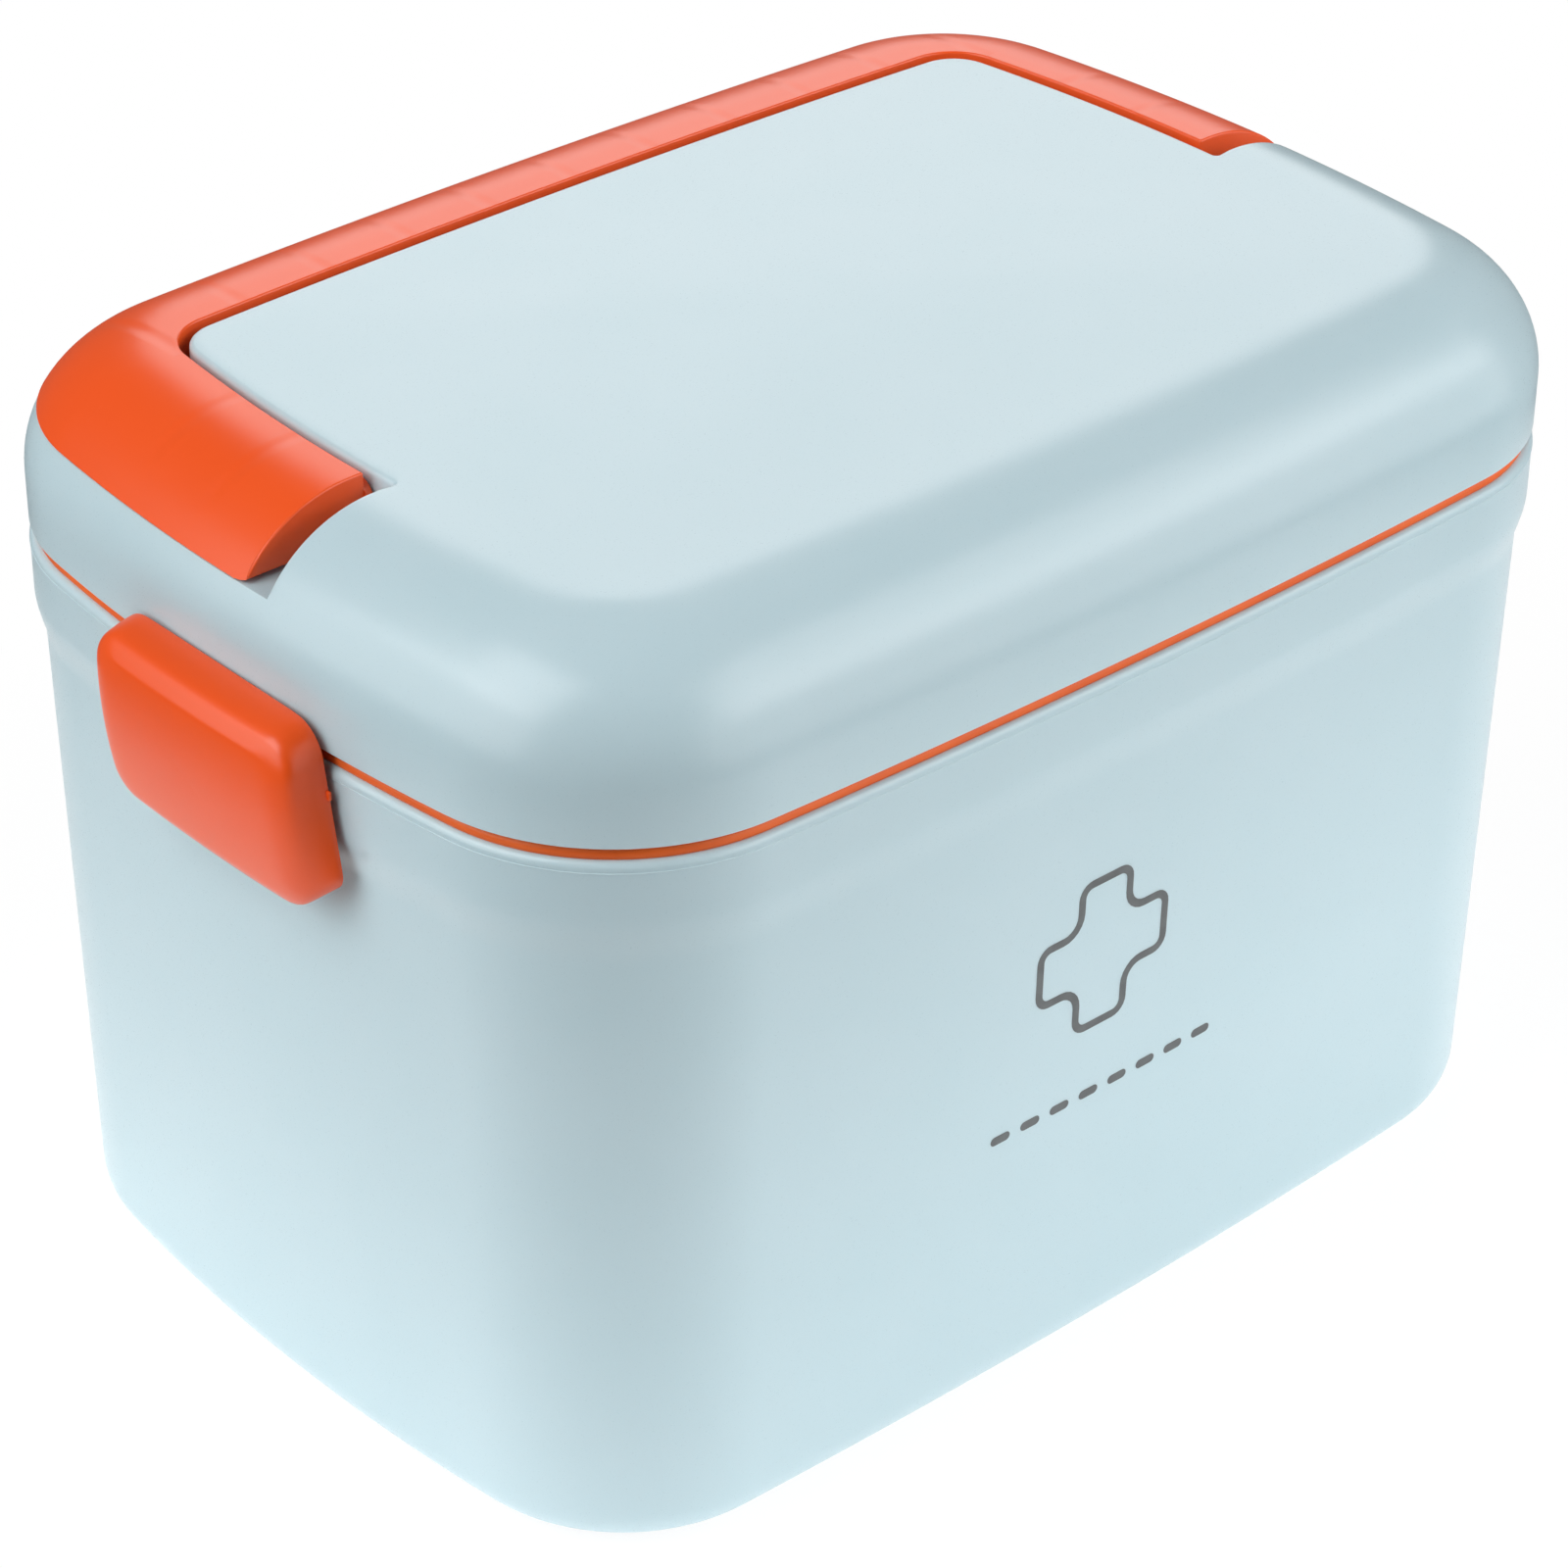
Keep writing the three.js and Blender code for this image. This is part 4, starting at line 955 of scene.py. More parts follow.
def shoulderRings(depth, swell=0.0, steps=26):
    # the skin from the band up over the shoulder to the crown, moved in by a depth
    rings = []
    for t in quarterTurn(steps):
        normal = np.array([math.cos(t) / lid["shoulderWidth"], math.sin(t) / lid["shoulderHeight"]])
        inward = normal / np.linalg.norm(normal) * (depth - swell)
        rings.append(ring(
            lid["offset"] - lid["shoulderWidth"] * (1 - math.cos(t)) - inward[0],
            lid["shoulderStart"] + lid["shoulderHeight"] * math.sin(t) - inward[1]))
    for share in lid["crownShares"]:
        z = lid["top"] - depth + swell + lid["crown"] * (1 - share ** 2) ** 2
        rings.append(ring(lid["rimOffset"], z, share))
    return rings


def lidBlock(swell=0.0):
    return meshFrom([
        ring(lid["skirtInner"], lid["skirtBottom"]), ring(lid["skirtOuter"], lid["skirtBottom"]),
        ring(lid["skirtOuter"], lid["edge"]),
        *filletRings(lid["offset"], lid["edge"], lid["edgeFillet"], 4), *shoulderRings(0, swell),
    ])


def lidCavity():
    wallOffset = lid["offset"] - lid["wall"]
    ledge = lid["edge"] + lid["skirtLedge"]
    return meshFrom([
        ring(lid["skirtInner"], lid["skirtBottom"] - past), ring(lid["skirtInner"], ledge),
        ring(wallOffset, ledge + wallOffset - lid["skirtInner"]),   # a slope of 45 degrees
        *shoulderRings(lid["wall"]),
    ])


zone = {
    "far": 140.0,             # where the cutters for the handle's zone end, far outside the lid
    "above": 20.0,            # and how far over the lid
    "leastBend": 0.3,
    "lidTurns": (0, 18, 36, 54, 70, 80),      # degrees round the edge that a cut leaves on the lid
    "lidLift": (1.0, 0.25),                   # out and up past the last of them
    "handleTurns": (0, 20, 40, 60, 76),
    "handleLift": (1.2, 0.6),                 # in, as a share of the rounding, and up
}


def zoneEdge(frontShift, wallShift):
    # the inner edge of the handle's zone, from far right round the panel to far left, with the
    # directions that point out of the zone, into the lid
    panel = insetForm(plan, lid["panelSide"] - wallShift, lid["panelBack"] - wallShift,
                      lid["panelCorner"] + wallShift)
    front = frontShift - lid["recessFront"]
    bend = max(lid["recessCorner"] + wallShift - frontShift, zone["leastBend"])
    side = arcCentres(panel)[0]
    wallX = side[0] + math.sqrt(panel["sideRadius"] ** 2 - (front + bend) ** 2)
    reach = np.linspace(zone["far"], wallX + bend, 60)[:-1]
    line = np.column_stack([reach, np.full(len(reach), front)])
    turns = -math.pi / 2 - quarterTurn(10)
    curveWays = np.column_stack([np.cos(turns), np.sin(turns)])
    curve = np.array([wallX + bend, front + bend]) + bend * curveWays
    wall, ways = quarterOutline(panel)
    # the side arc starts on the X axis; the wall begins where the bend ends
    start = math.atan2(front + bend, wallX - side[0])
    lower = start * (1 - np.arange(1, 6) / 6)
    below = np.column_stack([np.cos(lower), np.sin(lower)])
    right = np.concatenate([line, curve, side + panel["sideRadius"] * below, wall])
    rightWays = np.concatenate([np.tile([0.0, -1.0], (len(line), 1)), curveWays, -below, -ways])
    flip = np.array([-1, 1])
    places = np.concatenate([right, right[-2::-1] * flip])
    outs = np.concatenate([rightWays, rightWays[-2::-1] * flip])
    return places, outs


def zoneRing(places, heights):
    # closes the zone's inner edge round the back, far outside the lid
    back = zone["far"] * np.array([[-1, 1], [0, 1], [1, 1]])
    flat = np.concatenate([places, back])
    z = np.concatenate([heights * np.ones(len(places)), np.full(3, np.max(heights))])
    return np.column_stack([flat, z])


def recessCutter():
    # the hole for the handle, which rounds the panel's edge and the front crest as it cuts
    places, outs = zoneEdge(0, 0)
    onPanel = (lid["panelX"] + lid["panelEase"] - np.abs(places[:, 0])) / lid["panelEase"]
    onPanel = np.clip(onPanel, 0, 1)
    radius = lid["crestRounding"] + (lid["panelRounding"] - lid["crestRounding"]) * onPanel
    floor = lid["recessFloor"]
    turns = np.radians(zone["lidTurns"])
    rings = [zoneRing(places, floor)]
    for k, t in enumerate(turns):
        moved = places + outs * (radius * (1 - math.cos(t)))[:, None]
        z = lidHeight(moved) - radius * (1 - math.sin(t))
        rings.append(zoneRing(moved, np.maximum(z, floor + 0.02 * (k + 1))))   # never folds back
    out, up = zone["lidLift"]
    last = places + outs * (radius * (1 - math.cos(turns[-1])) + out)[:, None]
    rings.append(zoneRing(last, np.maximum(lidHeight(places), floor + 1) + up))
    rings.append(zoneRing(last, lid["top"] + zone["above"]))
    return facingOut(meshFrom(rings, flatEnds=True))


def zonePrism(frontShift, wallShift, low, high):
    places, _ = zoneEdge(frontShift, wallShift)
    return facingOut(meshFrom([zoneRing(places, low), zoneRing(places, high)], flatEnds=True))


def makeLid():
    walls = zonePrism(-lid["wall"], -lid["wall"], lid["recessFloor"] - lid["wall"], farAway)
    hollow = cutFrom(lidCavity(), walls)
    pinHoles = rodMesh("x", -lid["panelX"] - lid["wall"], lid["panelX"] + lid["wall"],
                       (lid["pivotY"], lid["pivotHeight"]), lid["pinRadius"], 48)
    catches = [boxMesh((-farAway, -lid["catchHalf"], lid["skirtBottom"] - past),
                       (-plan["halfWidth"] + lid["catchDepth"], lid["catchHalf"], lid["catchTop"]))]
    catches.append(turned(catches[0]))
    return cutFrom(lidBlock(), hollow, recessCutter(), pinHoles, *catches)


finished("domedLid", makeLid(), paleBlue, "lid", "lid_plastic", "lid_shell")


# Carry handle: a hollow U, flush with the lid

handle = {
    "bottom": 158.7, "panelGap": 1.7, "endGap": 5.5, "wall": 2.4, "proud": 0.25,
    "rounding": 0.4, "endRadius": 5.8, "bossRadius": 3.3, "bossReach": 5.0,
    "bossChamfer": 0.25, "seatGap": 0.3,
    "pinRadius": 1.9, "ribThickness": 1.2, "ribCount": 7, "ribLift": 1.6,
}


def handleBlock():
    # the handle before it is hollowed, its edges rounded as they are cut
    places, outs = zoneEdge(handle["endGap"], handle["panelGap"])
    bottom, rounding = handle["bottom"], handle["rounding"]
    rings = [zoneRing(places, bottom)]
    for t in np.radians(zone["handleTurns"]):
        moved = places - outs * rounding * (1 - math.cos(t))
        z = lidHeight(moved) + handle["proud"] - rounding * (1 - math.sin(t))
        rings.append(zoneRing(moved, np.maximum(z, bottom + 0.01 + t)))   # never folds back
    inward, up = zone["handleLift"]
    last = places - outs * rounding * inward
    rings.append(zoneRing(last, np.maximum(lidHeight(last), bottom + 2) + up))
    rings.append(zoneRing(last, lid["top"] + zone["above"]))
    return trimmedBy(lidBlock(handle["proud"]), facingOut(meshFrom(rings, flatEnds=True)))


def makeHandle():
    block = handleBlock()
    wall = handle["wall"]
    hollow = trimmedBy(
        meshFrom([ring(lid["offset"] - wall, lid["skirtBottom"]), *shoulderRings(wall)]),
        zonePrism(handle["endGap"] + wall, handle["panelGap"] + wall, 0, farAway))
    tree = ribRowTree(orange)
    low, half = handle["bottom"] + handle["ribLift"], handle["ribThickness"] / 2
    backStart = plan["halfDepth"] - lid["panelBack"]
    firstX = -(handle["ribCount"] - 1) / 2 * sinkMarks["pitch"]
    nearest, farthest = sinkMarks["armRibs"]
    ribs = joinedTo(
        ribRow(tree, handle["ribCount"], (firstX - half, backStart, low),
               (firstX + half, farAway, farAway), (sinkMarks["pitch"], 0, 0)),
        ribRow(tree, 2, (-farAway, nearest - half, low), (farAway, nearest + half, farAway),
               (0, farthest - nearest, 0)))
    pivot = (lid["pivotY"], lid["pivotHeight"])
    rounded = cutFrom(
        boxMesh((-farAway, -farAway, 0), (farAway, pivot[0], pivot[1])),
        rodMesh("x", -farAway - past, farAway + past, pivot, handle["endRadius"], 96))
    armX = lid["panelX"] + handle["panelGap"]
    armEnd = handle["endGap"] - lid["recessFront"]
    bossStart, bossEnd = lid["panelX"] + handle["seatGap"], armX + handle["bossReach"]
    bosses = []
    for side in (-1, 1):
        ends = sorted((side * bossStart, side * bossEnd))
        boss = rodMesh("x", *ends, pivot, handle["bossRadius"], 64, handle["bossChamfer"])
        edges = sorted((side * armX, side * farAway))
        bosses.append(cutFrom(boss, boxMesh((edges[0], -farAway, 0), (edges[1], armEnd, farAway))))
    bore = rodMesh("x", -bossEnd + wall / 2, bossEnd - wall / 2, pivot, handle["pinRadius"], 48)
    shell = joinedTo(cutFrom(block.copy(), hollow), trimmedBy(ribs, block))
    return cutFrom(joinedTo(cutFrom(shell, rounded), *bosses), bore)


finished("foldingHandle", makeHandle(), ribbedOrange, "handle", "orange_plastic", "carry_handle")


# Pins of the handle and the latches: drawn steel, with turned-down ends

pins = {
    "shankRadius": 1.6, "shankChamfer": 0.3, "headRadius": 2.2, "headLength": 1.5,
    "headChamfer": 0.35, "overlap": 0.5, "latchRadius": 1.0, "latchChamfer": 0.25,
}


def makePins():
    for side, way in (("left", -1), ("right", 1)):
        low, high = cornersOf("handle_pin_" + side)
        centre = ((low[1] + high[1]) / 2, (low[2] + high[2]) / 2)
        inner, outer = (high[0], low[0]) if side == "left" else (low[0], high[0])
        shank = rodMesh("x", *sorted((outer, inner + way * pins["overlap"])), centre,
                        pins["shankRadius"], 48, pins["shankChamfer"])
        head = rodMesh("x", *sorted((inner, inner + way * pins["headLength"])), centre,
                       pins["headRadius"], 48, pins["headChamfer"])
        finished("handlePin." + side, joinedTo(shank, head), steel, "lid", "pin_steel",
                 "handle_pin_" + side)
        low, high = cornersOf("latch_pin_" + side)
        centre = ((low[0] + high[0]) / 2, (low[2] + high[2]) / 2)
        pin = rodMesh("y", low[1], high[1], centre, pins["latchRadius"], 40, pins["latchChamfer"])
        finished("latchPin." + side, pin, steel, "tub", "pin_steel", "latch_pin_" + side)


makePins()


# Lift-out tray and the loose divider plates

tray = {
    "top": 133.2, "depth": 38.0, "flange": -3.7, "flangeThickness": 2.0, "wallOffset": -7.9,
    "draft": 1.5, "wall": 1.8, "fillet": 4.0, "edgeRounding": 0.5,
    "partition": 2.0, "partitionDrop": 1.0, "partitionRounding": 0.5,
    "archHalf": 34.0, "archRise": 20.0, "archCorner": 9.0, "archThickness": 3.0,
    "archRoot": 10.0, "archRounding": 0.7,
    "slotHalf": 26.0, "slotHeight": 13.0, "slotLift": 2.0,
    "plateX": 37.0, "plateThickness": 1.6, "plateClearance": 0.3, "plateDrop": 5.0,
    "plateRounding": 0.3, "slotRib": 1.4, "slotReach": 2.2, "slotRibsFrom": 42.0,
}
tray["bottom"] = tray["top"] - tray["depth"]
tray["floor"] = tray["bottom"] + tray["wall"]


def roundedBar(end, radius, steps):
    # the outline of a bar with round ends, whose middles lie at -end and end
    places = []
    for middle, first in ((end, -math.pi / 2), (-end, math.pi / 2)):
        turns = first + math.pi * np.arange(steps + 1) / steps
        places.extend((middle + radius * math.cos(t), radius * math.sin(t)) for t in turns)
    return np.array(places)


def trayOffset(z):
    return tray["wallOffset"] - tray["draft"] * (tray["top"] - z) / tray["depth"]


def trayBodies():
    under, rounding = tray["top"] - tray["flangeThickness"], tray["edgeRounding"]
    filled = meshFrom([
        *filletRings(trayOffset(tray["bottom"] + tray["fillet"]), tray["bottom"], tray["fillet"]),
        ring(trayOffset(under), under), ring(tray["flange"] - rounding, under),
        *filletRings(tray["flange"], under, rounding, 4)[1:],
        *[ring(tray["flange"] - rounding * (1 - math.cos(t)),
               tray["top"] - rounding * (1 - math.sin(t))) for t in quarterTurn(4)],
    ])
    inner = trayOffset(tray["floor"] + tray["fillet"]) - tray["wall"]
    rim = trayOffset(tray["top"]) - tray["wall"]
    hollow = meshFrom([
        *filletRings(inner, tray["floor"], tray["fillet"]), ring(rim, tray["top"] - rounding),
        ring(rim + 0.15 * rounding, tray["top"] - 0.45 * rounding),
        ring(rim + rounding, tray["top"] + 0.02), ring(rim + rounding, farAway),
    ])
    return filled, hollow


def archMesh():
    # the grip over the middle partition, with a slot for the fingers
    top = tray["top"] + tray["archRise"]
    base = tray["top"] - tray["partitionDrop"] - tray["archRoot"]
    half, corner = tray["archHalf"], tray["archCorner"]
    outline = [(-half, base), (half, base)]
    for middleX, start in ((half - corner, 0), (corner - half, math.pi / 2)):
        outline.extend((middleX + corner * math.cos(t), top - corner + corner * math.sin(t))
                       for t in start + quarterTurn(10))
    arch = extrusion(np.array(outline), "y", -tray["archThickness"] / 2, tray["archThickness"] / 2)
    radius = tray["slotHeight"] / 2
    middleZ, end = tray["top"] + tray["slotLift"] + radius, tray["slotHalf"] - radius
    slot = roundedBar(end, radius, 16) + np.array([0, middleZ])
    hole = extrusion(slot, "y", -tray["archThickness"], tray["archThickness"])
    return softened(combined(arch, hole, "DIFFERENCE", "EXACT"), tray["archRounding"], angle=60)


def makeTray():
    filled, hollow = trayBodies()
    half, low = tray["partition"] / 2, tray["floor"] - tray["wall"] / 2
    top, soft = tray["top"] - tray["partitionDrop"], tray["partitionRounding"]
    partitions = joinedTo(
        softened(boxMesh((-farAway, -half, low), (farAway, half, top)), soft, "NONE"),
        softened(boxMesh((-half, 0, low), (half, farAway, top)), soft, "NONE"))
    # pairs of ribs that hold the loose plates, at the front wall and at the partition
    slotHalf = tray["plateThickness"] / 2 + tray["plateClearance"]
    pairStep = 2 * slotHalf + tray["slotRib"]
    high = tray["top"] - tray["plateDrop"]
    reach = trayOffset(tray["top"]) - tray["wall"] - tray["slotReach"]
    core = meshFrom([ring(reach, 0), ring(reach, farAway)])
    tree = ribRowTree(milky)
    parts = []
    for plateX in (-tray["plateX"], tray["plateX"]):
        first = plateX - slotHalf - tray["slotRib"]
        atWall = ribRow(tree, 2, (first, -farAway, low),
                        (first + tray["slotRib"], -tray["slotRibsFrom"], high), (pairStep, 0, 0))
        parts.append(cutFrom(atWall, core))
        parts.append(ribRow(tree, 2, (first, -half - tray["slotReach"], low),
                            (first + tray["slotRib"], 0, high), (pairStep, 0, 0)))
    ribs = trimmedBy(joinedTo(*parts), filled)
    return joinedTo(cutFrom(filled.copy(), hollow), trimmedBy(partitions, filled), ribs, archMesh())


def frontWallY(offset, x=0.0):
    return (plan["halfDepth"] - plan["frontRadius"]
            + math.sqrt((plan["frontRadius"] + offset) ** 2 - x * x))


def makeTrayPlate(x):
    def wallY(z):
        return -frontWallY(trayOffset(z) - tray["wall"], x) + tray["plateClearance"]

    fillet, half = tray["fillet"], tray["plateThickness"] / 2
    low, high = tray["floor"] + tray["plateClearance"], tray["top"] - tray["plateDrop"]
    back = -tray["partition"] / 2 - tray["plateClearance"]
    foot = wallY(low + fillet)
    curve = [(foot + fillet * (1 - math.sin(t)), low + fillet * (1 - math.cos(t)))
             for t in quarterTurn(6)]
    outline = np.array([*curve, (wallY(high), high), (back, high), (back, low)])
    return softened(extrusion(outline, "x", x - half, x + half), tray["plateRounding"])


def makeTubPlate():
    def wallY(z):
        return frontWallY(tubInnerOffset(z)) - tray["plateClearance"]

    low, high, corner = tub["floor"] + tray["plateClearance"], tub["slotTop"], tub["plateCorner"]
    foot, half = wallY(low + corner), tray["plateThickness"] / 2
    right = [(foot - corner * (1 - math.sin(t)), low + corner * (1 - math.cos(t)))
             for t in quarterTurn(8)]
    right.append((wallY(high), high))
    outline = np.array([*right, *[(-y, z) for y, z in right[::-1]]])
    return softened(extrusion(outline, "x", -half, half), tray["plateRounding"])


finished("liftOutTray", makeTray(), milky, "tray", "tray_plastic", "tray_shell")
for side, x in (("left", -tray["plateX"]), ("right", tray["plateX"])):
    finished("trayPlate." + side, makeTrayPlate(x), milky, "tray", "tray_plastic",
             "tray_divider_" + side)
finished("tubPlate", makeTubPlate(), milky, "tub", "tray_plastic", "tub_divider")


# Printed mark on the front wall: a plain outlined plus over a row of dashes

mark = {
    "centre": (-7.1, 83.5), "reach": 15.0, "arm": 6.2, "corner": 3.0, "line": 1.5,
    "dashes": 8, "dashStart": -30.6, "dashPitch": 6.7, "dashHeight": 55.2,
    "dashLength": 4.3, "dashWidth": 1.7,
    "proud": 0.04, "sunk": 0.3,
}


def wallRuleTree():
    # repeats a flat piece along a row and lays it on the drafted, bowed front wall
    tree, given = newTree("wallRule", count="Int", start="Vector", pitch="Vector", radius="Float",
                          middle="Float", footHeight="Float", footOffset="Float", slope="Float")
    row = addNode(tree, "GeometryNodeMeshLine", {
        "Count": given.outputs["count"], "Start Location": given.outputs["start"],
        "Offset": given.outputs["pitch"],
    })
    copies = addNode(tree, "GeometryNodeInstanceOnPoints", {
        "Points": row.outputs["Mesh"], "Instance": given.outputs["Geometry"],
    })
    real = addNode(tree, "GeometryNodeRealizeInstances", {"Geometry": copies.outputs["Instances"]})
    place = addNode(tree, "GeometryNodeInputPosition").outputs["Position"]
    split = addNode(tree, "ShaderNodeSeparateXYZ", {"Vector": place})

    above = addNode(tree, "ShaderNodeMath", {
        0: split.outputs["Z"], 1: given.outputs["footHeight"],
    }, operation="SUBTRACT")
    drafted = addNode(tree, "ShaderNodeMath", {0: above, 1: given.outputs["slope"]},
                      operation="MULTIPLY")
    offset = addNode(tree, "ShaderNodeMath", {0: given.outputs["footOffset"], 1: drafted},
                     operation="ADD")
    reach = addNode(tree, "ShaderNodeMath", {0: given.outputs["radius"], 1: offset},
                    operation="ADD")
    whole = addNode(tree, "ShaderNodeMath", {0: reach, 1: reach}, operation="MULTIPLY")
    aside = addNode(tree, "ShaderNodeMath", {0: split.outputs["X"], 1: split.outputs["X"]},
                    operation="MULTIPLY")
    rest = addNode(tree, "ShaderNodeMath", {0: whole, 1: aside}, operation="SUBTRACT")
    bowed = addNode(tree, "ShaderNodeMath", {0: rest, 1: 0.5}, operation="POWER")
    wallY = addNode(tree, "ShaderNodeMath", {0: bowed, 1: given.outputs["middle"]},
                    operation="ADD")
    laidY = addNode(tree, "ShaderNodeMath", {0: split.outputs["Y"], 1: wallY},
                    operation="SUBTRACT")
    laid = addNode(tree, "ShaderNodeCombineXYZ", {
        "X": split.outputs["X"], "Y": laidY, "Z": split.outputs["Z"],
    })
    moved = addNode(tree, "GeometryNodeSetPosition", {
        "Geometry": real.outputs["Geometry"], "Position": laid.outputs["Vector"],
    })
    return endTree(tree, moved.outputs["Geometry"], ink)


def plusOutline(inset):
    # a plus with round corners, drawn at an inset from its edge
    reach, arm, radius = mark["reach"] - inset, mark["arm"] - inset, mark["corner"]
    outer, inner = radius - inset, radius + inset
    cosines, sines = np.cos(quarterTurn(6)), np.sin(quarterTurn(6))
    low = np.column_stack([reach - outer + outer * sines, outer - arm - outer * cosines])
    tip = np.column_stack([reach - outer + outer * cosines, arm - outer + outer * sines])
    crook = np.column_stack([arm + inner - inner * sines, arm + inner - inner * cosines])
    arms = [np.concatenate([low, tip, crook])]
    for _ in range(3):
        arms.append(np.column_stack([-arms[-1][:, 1], arms[-1][:, 0]]))   # a quarter turn on
    return np.concatenate(arms)


def makeMark():
    tree = wallRuleTree()
    slope = (tub["footOffset"] - tub["baseOffset"]) / (tub["flareFoot"] - tub["baseFillet"])
    wall = {
        "radius": plan["frontRadius"] * mm, "footHeight": tub["baseFillet"] * mm,
        "middle": (plan["halfDepth"] - plan["frontRadius"]) * mm,
        "footOffset": tub["baseOffset"] * mm, "slope": slope,
    }

    def flatRing(points, y):
        return np.column_stack([points[:, 0], np.full(len(points), y), points[:, 1]])

    outer, inner = plusOutline(0), plusOutline(mark["line"])
    plus = facingOut(meshFrom([
        flatRing(outer, -mark["proud"]), flatRing(outer, mark["sunk"]),
        flatRing(inner, mark["sunk"]), flatRing(inner, -mark["proud"]),
    ], loop=True))
    plus = grown(tree, plus, count=1, start=(mark["centre"][0] * mm, 0, mark["centre"][1] * mm),
                 pitch=(0.0, 0.0, 0.0), **wall)
    bar = roundedBar((mark["dashLength"] - mark["dashWidth"]) / 2, mark["dashWidth"] / 2, 8)
    dash = facingOut(meshFrom([flatRing(bar, -mark["proud"]), flatRing(bar, mark["sunk"])]))
    firstX = mark["dashStart"] + mark["dashLength"] / 2
    dashes = grown(tree, dash, count=mark["dashes"],
                   start=(firstX * mm, 0, mark["dashHeight"] * mm),
                   pitch=(mark["dashPitch"] * mm, 0.0, 0.0), **wall)
    work = bmesh.new()
    work.from_mesh(plus)
    work.from_mesh(dashes)
    work.to_mesh(plus)
    work.free()
    return plus


finished("frontMark", makeMark(), ink, "tub", "tub_plastic")


# Floor, backdrop and light

studio = {
    "awayFromCamera": (0.67, 0.74, 0.0),
    "room": (0.02, 0.10),    # strength of the sky behind the camera and of the wall behind the box
    "roomBend": (-0.1, 0.7),  # where the one turns into the other, along that direction
    "paper": "#F8F8F8",
    "sheet": 0.325,          # radius of the white table that the box stands on, in metres
    "sheetSides": 96,
    "sheetCentre": (0.025, -0.03),
    "sheetDrop": 0.0002,
    "table": (0.24, 0.32),   # radius and strength of the light under it
    "fade": 0.06,            # how far that light takes to fade
    "shadow": (0.16, 0.27),  # radii between which the shadow round the box fades for the camera
    "shadowShare": 0.85,     # how white the camera sees the table beside the box
    "aim": (0.0, 0.0, 0.08),
    "lamps": {               # power in watts, width and height, and place, in metres
        "softboxLeft": (9.0, (1.0, 0.8), (-0.866, 0.203, 1.095)),
        "stripLeft": (9.0, (1.4, 1.0), (-1.216, 0.387, 0.522)),
        "softboxRight": (7.2, (1.1, 0.8), (0.608, -0.892, 0.891)),
        "stripRight": (10.6, (1.9, 1.2), (0.669, -1.138, 0.361)),
        "softboxBack": (4.4, (0.85, 0.75), (0.803, 0.884, 0.709)),
    },
}


def makeLamps():
    for name, (power, size, place) in studio["lamps"].items():
        lamp = bpy.data.lights.new(name, "AREA")
        lamp.shape, lamp.size, lamp.size_y, lamp.energy = "RECTANGLE", size[0], size[1], power
        obj = bpy.data.objects.new(name, lamp)
        obj.location = place
        facing = (Vector(studio["aim"]) - Vector(place)).to_track_quat("-Z", "Y")
        obj.rotation_euler = facing.to_euler()
        bpy.context.scene.collection.objects.link(obj)


def makeRoom():
    # white where the camera looks, and for the light a room that is bright behind the box
    world = bpy.data.worlds.new("room")
    bpy.context.scene.world = world
    world.use_nodes = True
    tree = world.node_tree
    tree.nodes.clear()
    way = addNode(tree, "ShaderNodeTexCoord").outputs["Generated"]
    along = addNode(tree, "ShaderNodeVectorMath", {0: way, 1: studio["awayFromCamera"]},
                    operation="DOT_PRODUCT")
    room = addNode(tree, "ShaderNodeMapRange", {
        "Value": along.outputs["Value"],
        "From Min": studio["roomBend"][0], "From Max": studio["roomBend"][1],
        "To Min": studio["room"][0], "To Max": studio["room"][1],
    }, interpolation_type="SMOOTHSTEP")
    rays = addNode(tree, "ShaderNodeLightPath")
    strength = addNode(tree, "ShaderNodeMix", {
        0: rays.outputs["Is Camera Ray"], 2: room.outputs["Result"], 3: 1.0,
    })
    sky = addNode(tree, "ShaderNodeBackground", {
        "Color": (1, 1, 1, 1), "Strength": strength.outputs[0],
    })
    addNode(tree, "ShaderNodeOutputWorld", {"Surface": sky.outputs["Background"]})


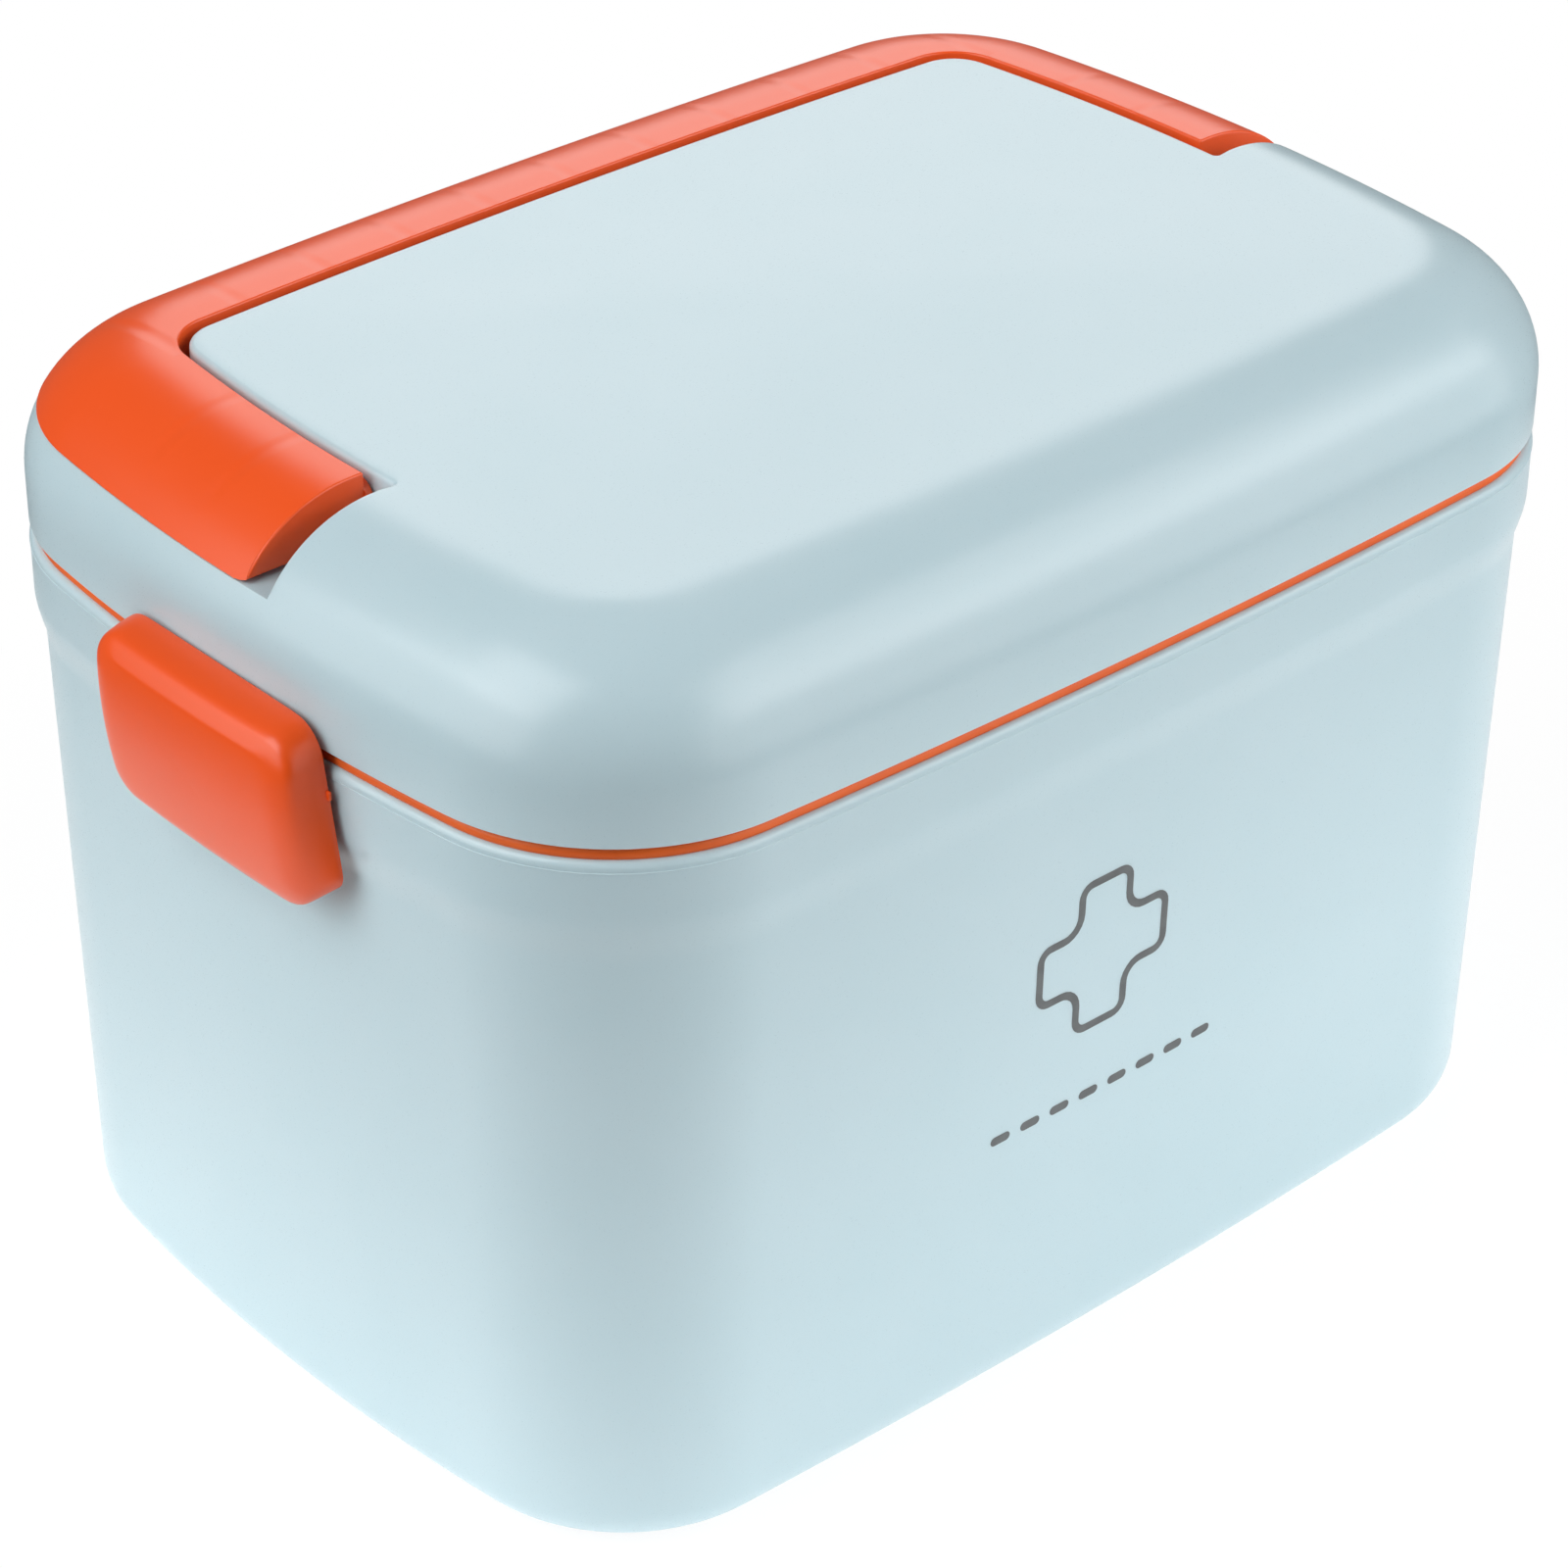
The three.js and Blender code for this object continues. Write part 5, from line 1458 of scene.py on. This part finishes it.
def makeFloor():
    sides, radius = studio["sheetSides"], studio["sheet"]
    turns = 2 * math.pi * np.arange(sides) / sides
    mesh = bpy.data.meshes.new("floor")
    mesh.from_pydata([(radius * math.cos(t), radius * math.sin(t), 0) for t in turns], [],
                     [tuple(range(sides))])
    floor = bpy.data.objects.new("floor", mesh)
    floor.location = (*studio["sheetCentre"], -studio["sheetDrop"])
    bpy.context.scene.collection.objects.link(floor)
    paper = bpy.data.materials.new("whitePaper")
    paper.use_nodes = True
    tree = paper.node_tree
    tree.nodes.clear()
    rays = addNode(tree, "ShaderNodeLightPath")
    matt = addNode(tree, "ShaderNodeBsdfDiffuse", {"Color": colour(studio["paper"])})
    place = addNode(tree, "ShaderNodeTexCoord").outputs["Object"]
    away = addNode(tree, "ShaderNodeVectorMath", {0: place}, operation="LENGTH")
    reach, strength = studio["table"]
    lit = addNode(tree, "ShaderNodeMapRange", {
        "Value": away.outputs["Value"], "From Min": reach - studio["fade"],
        "From Max": reach + studio["fade"], "To Min": strength, "To Max": 0.0,
    })
    under = addNode(tree, "ShaderNodeEmission", {
        "Color": (1, 1, 1, 1), "Strength": lit.outputs["Result"],
    })
    table = addNode(tree, "ShaderNodeAddShader", {
        0: matt.outputs["BSDF"], 1: under.outputs["Emission"],
    })
    glow = addNode(tree, "ShaderNodeEmission", {"Color": (1, 1, 1, 1), "Strength": 1.0})
    # the camera sees it as white as the backdrop, with a soft shadow left round the box
    seen = addNode(tree, "ShaderNodeMapRange", {
        "Value": away.outputs["Value"], "From Min": studio["shadow"][0],
        "From Max": studio["shadow"][1], "To Min": studio["shadowShare"], "To Max": 1.0,
    })
    share = addNode(tree, "ShaderNodeMath", {
        0: rays.outputs["Is Camera Ray"], 1: seen.outputs["Result"],
    }, operation="MULTIPLY")
    both = addNode(tree, "ShaderNodeMixShader", {
        "Fac": share.outputs[0], 1: table.outputs["Shader"], 2: glow.outputs["Emission"],
    })
    addNode(tree, "ShaderNodeOutputMaterial", {"Surface": both.outputs["Shader"]})
    mesh.materials.append(paper)


makeLamps()
makeRoom()
makeFloor()
print("studio is lit")
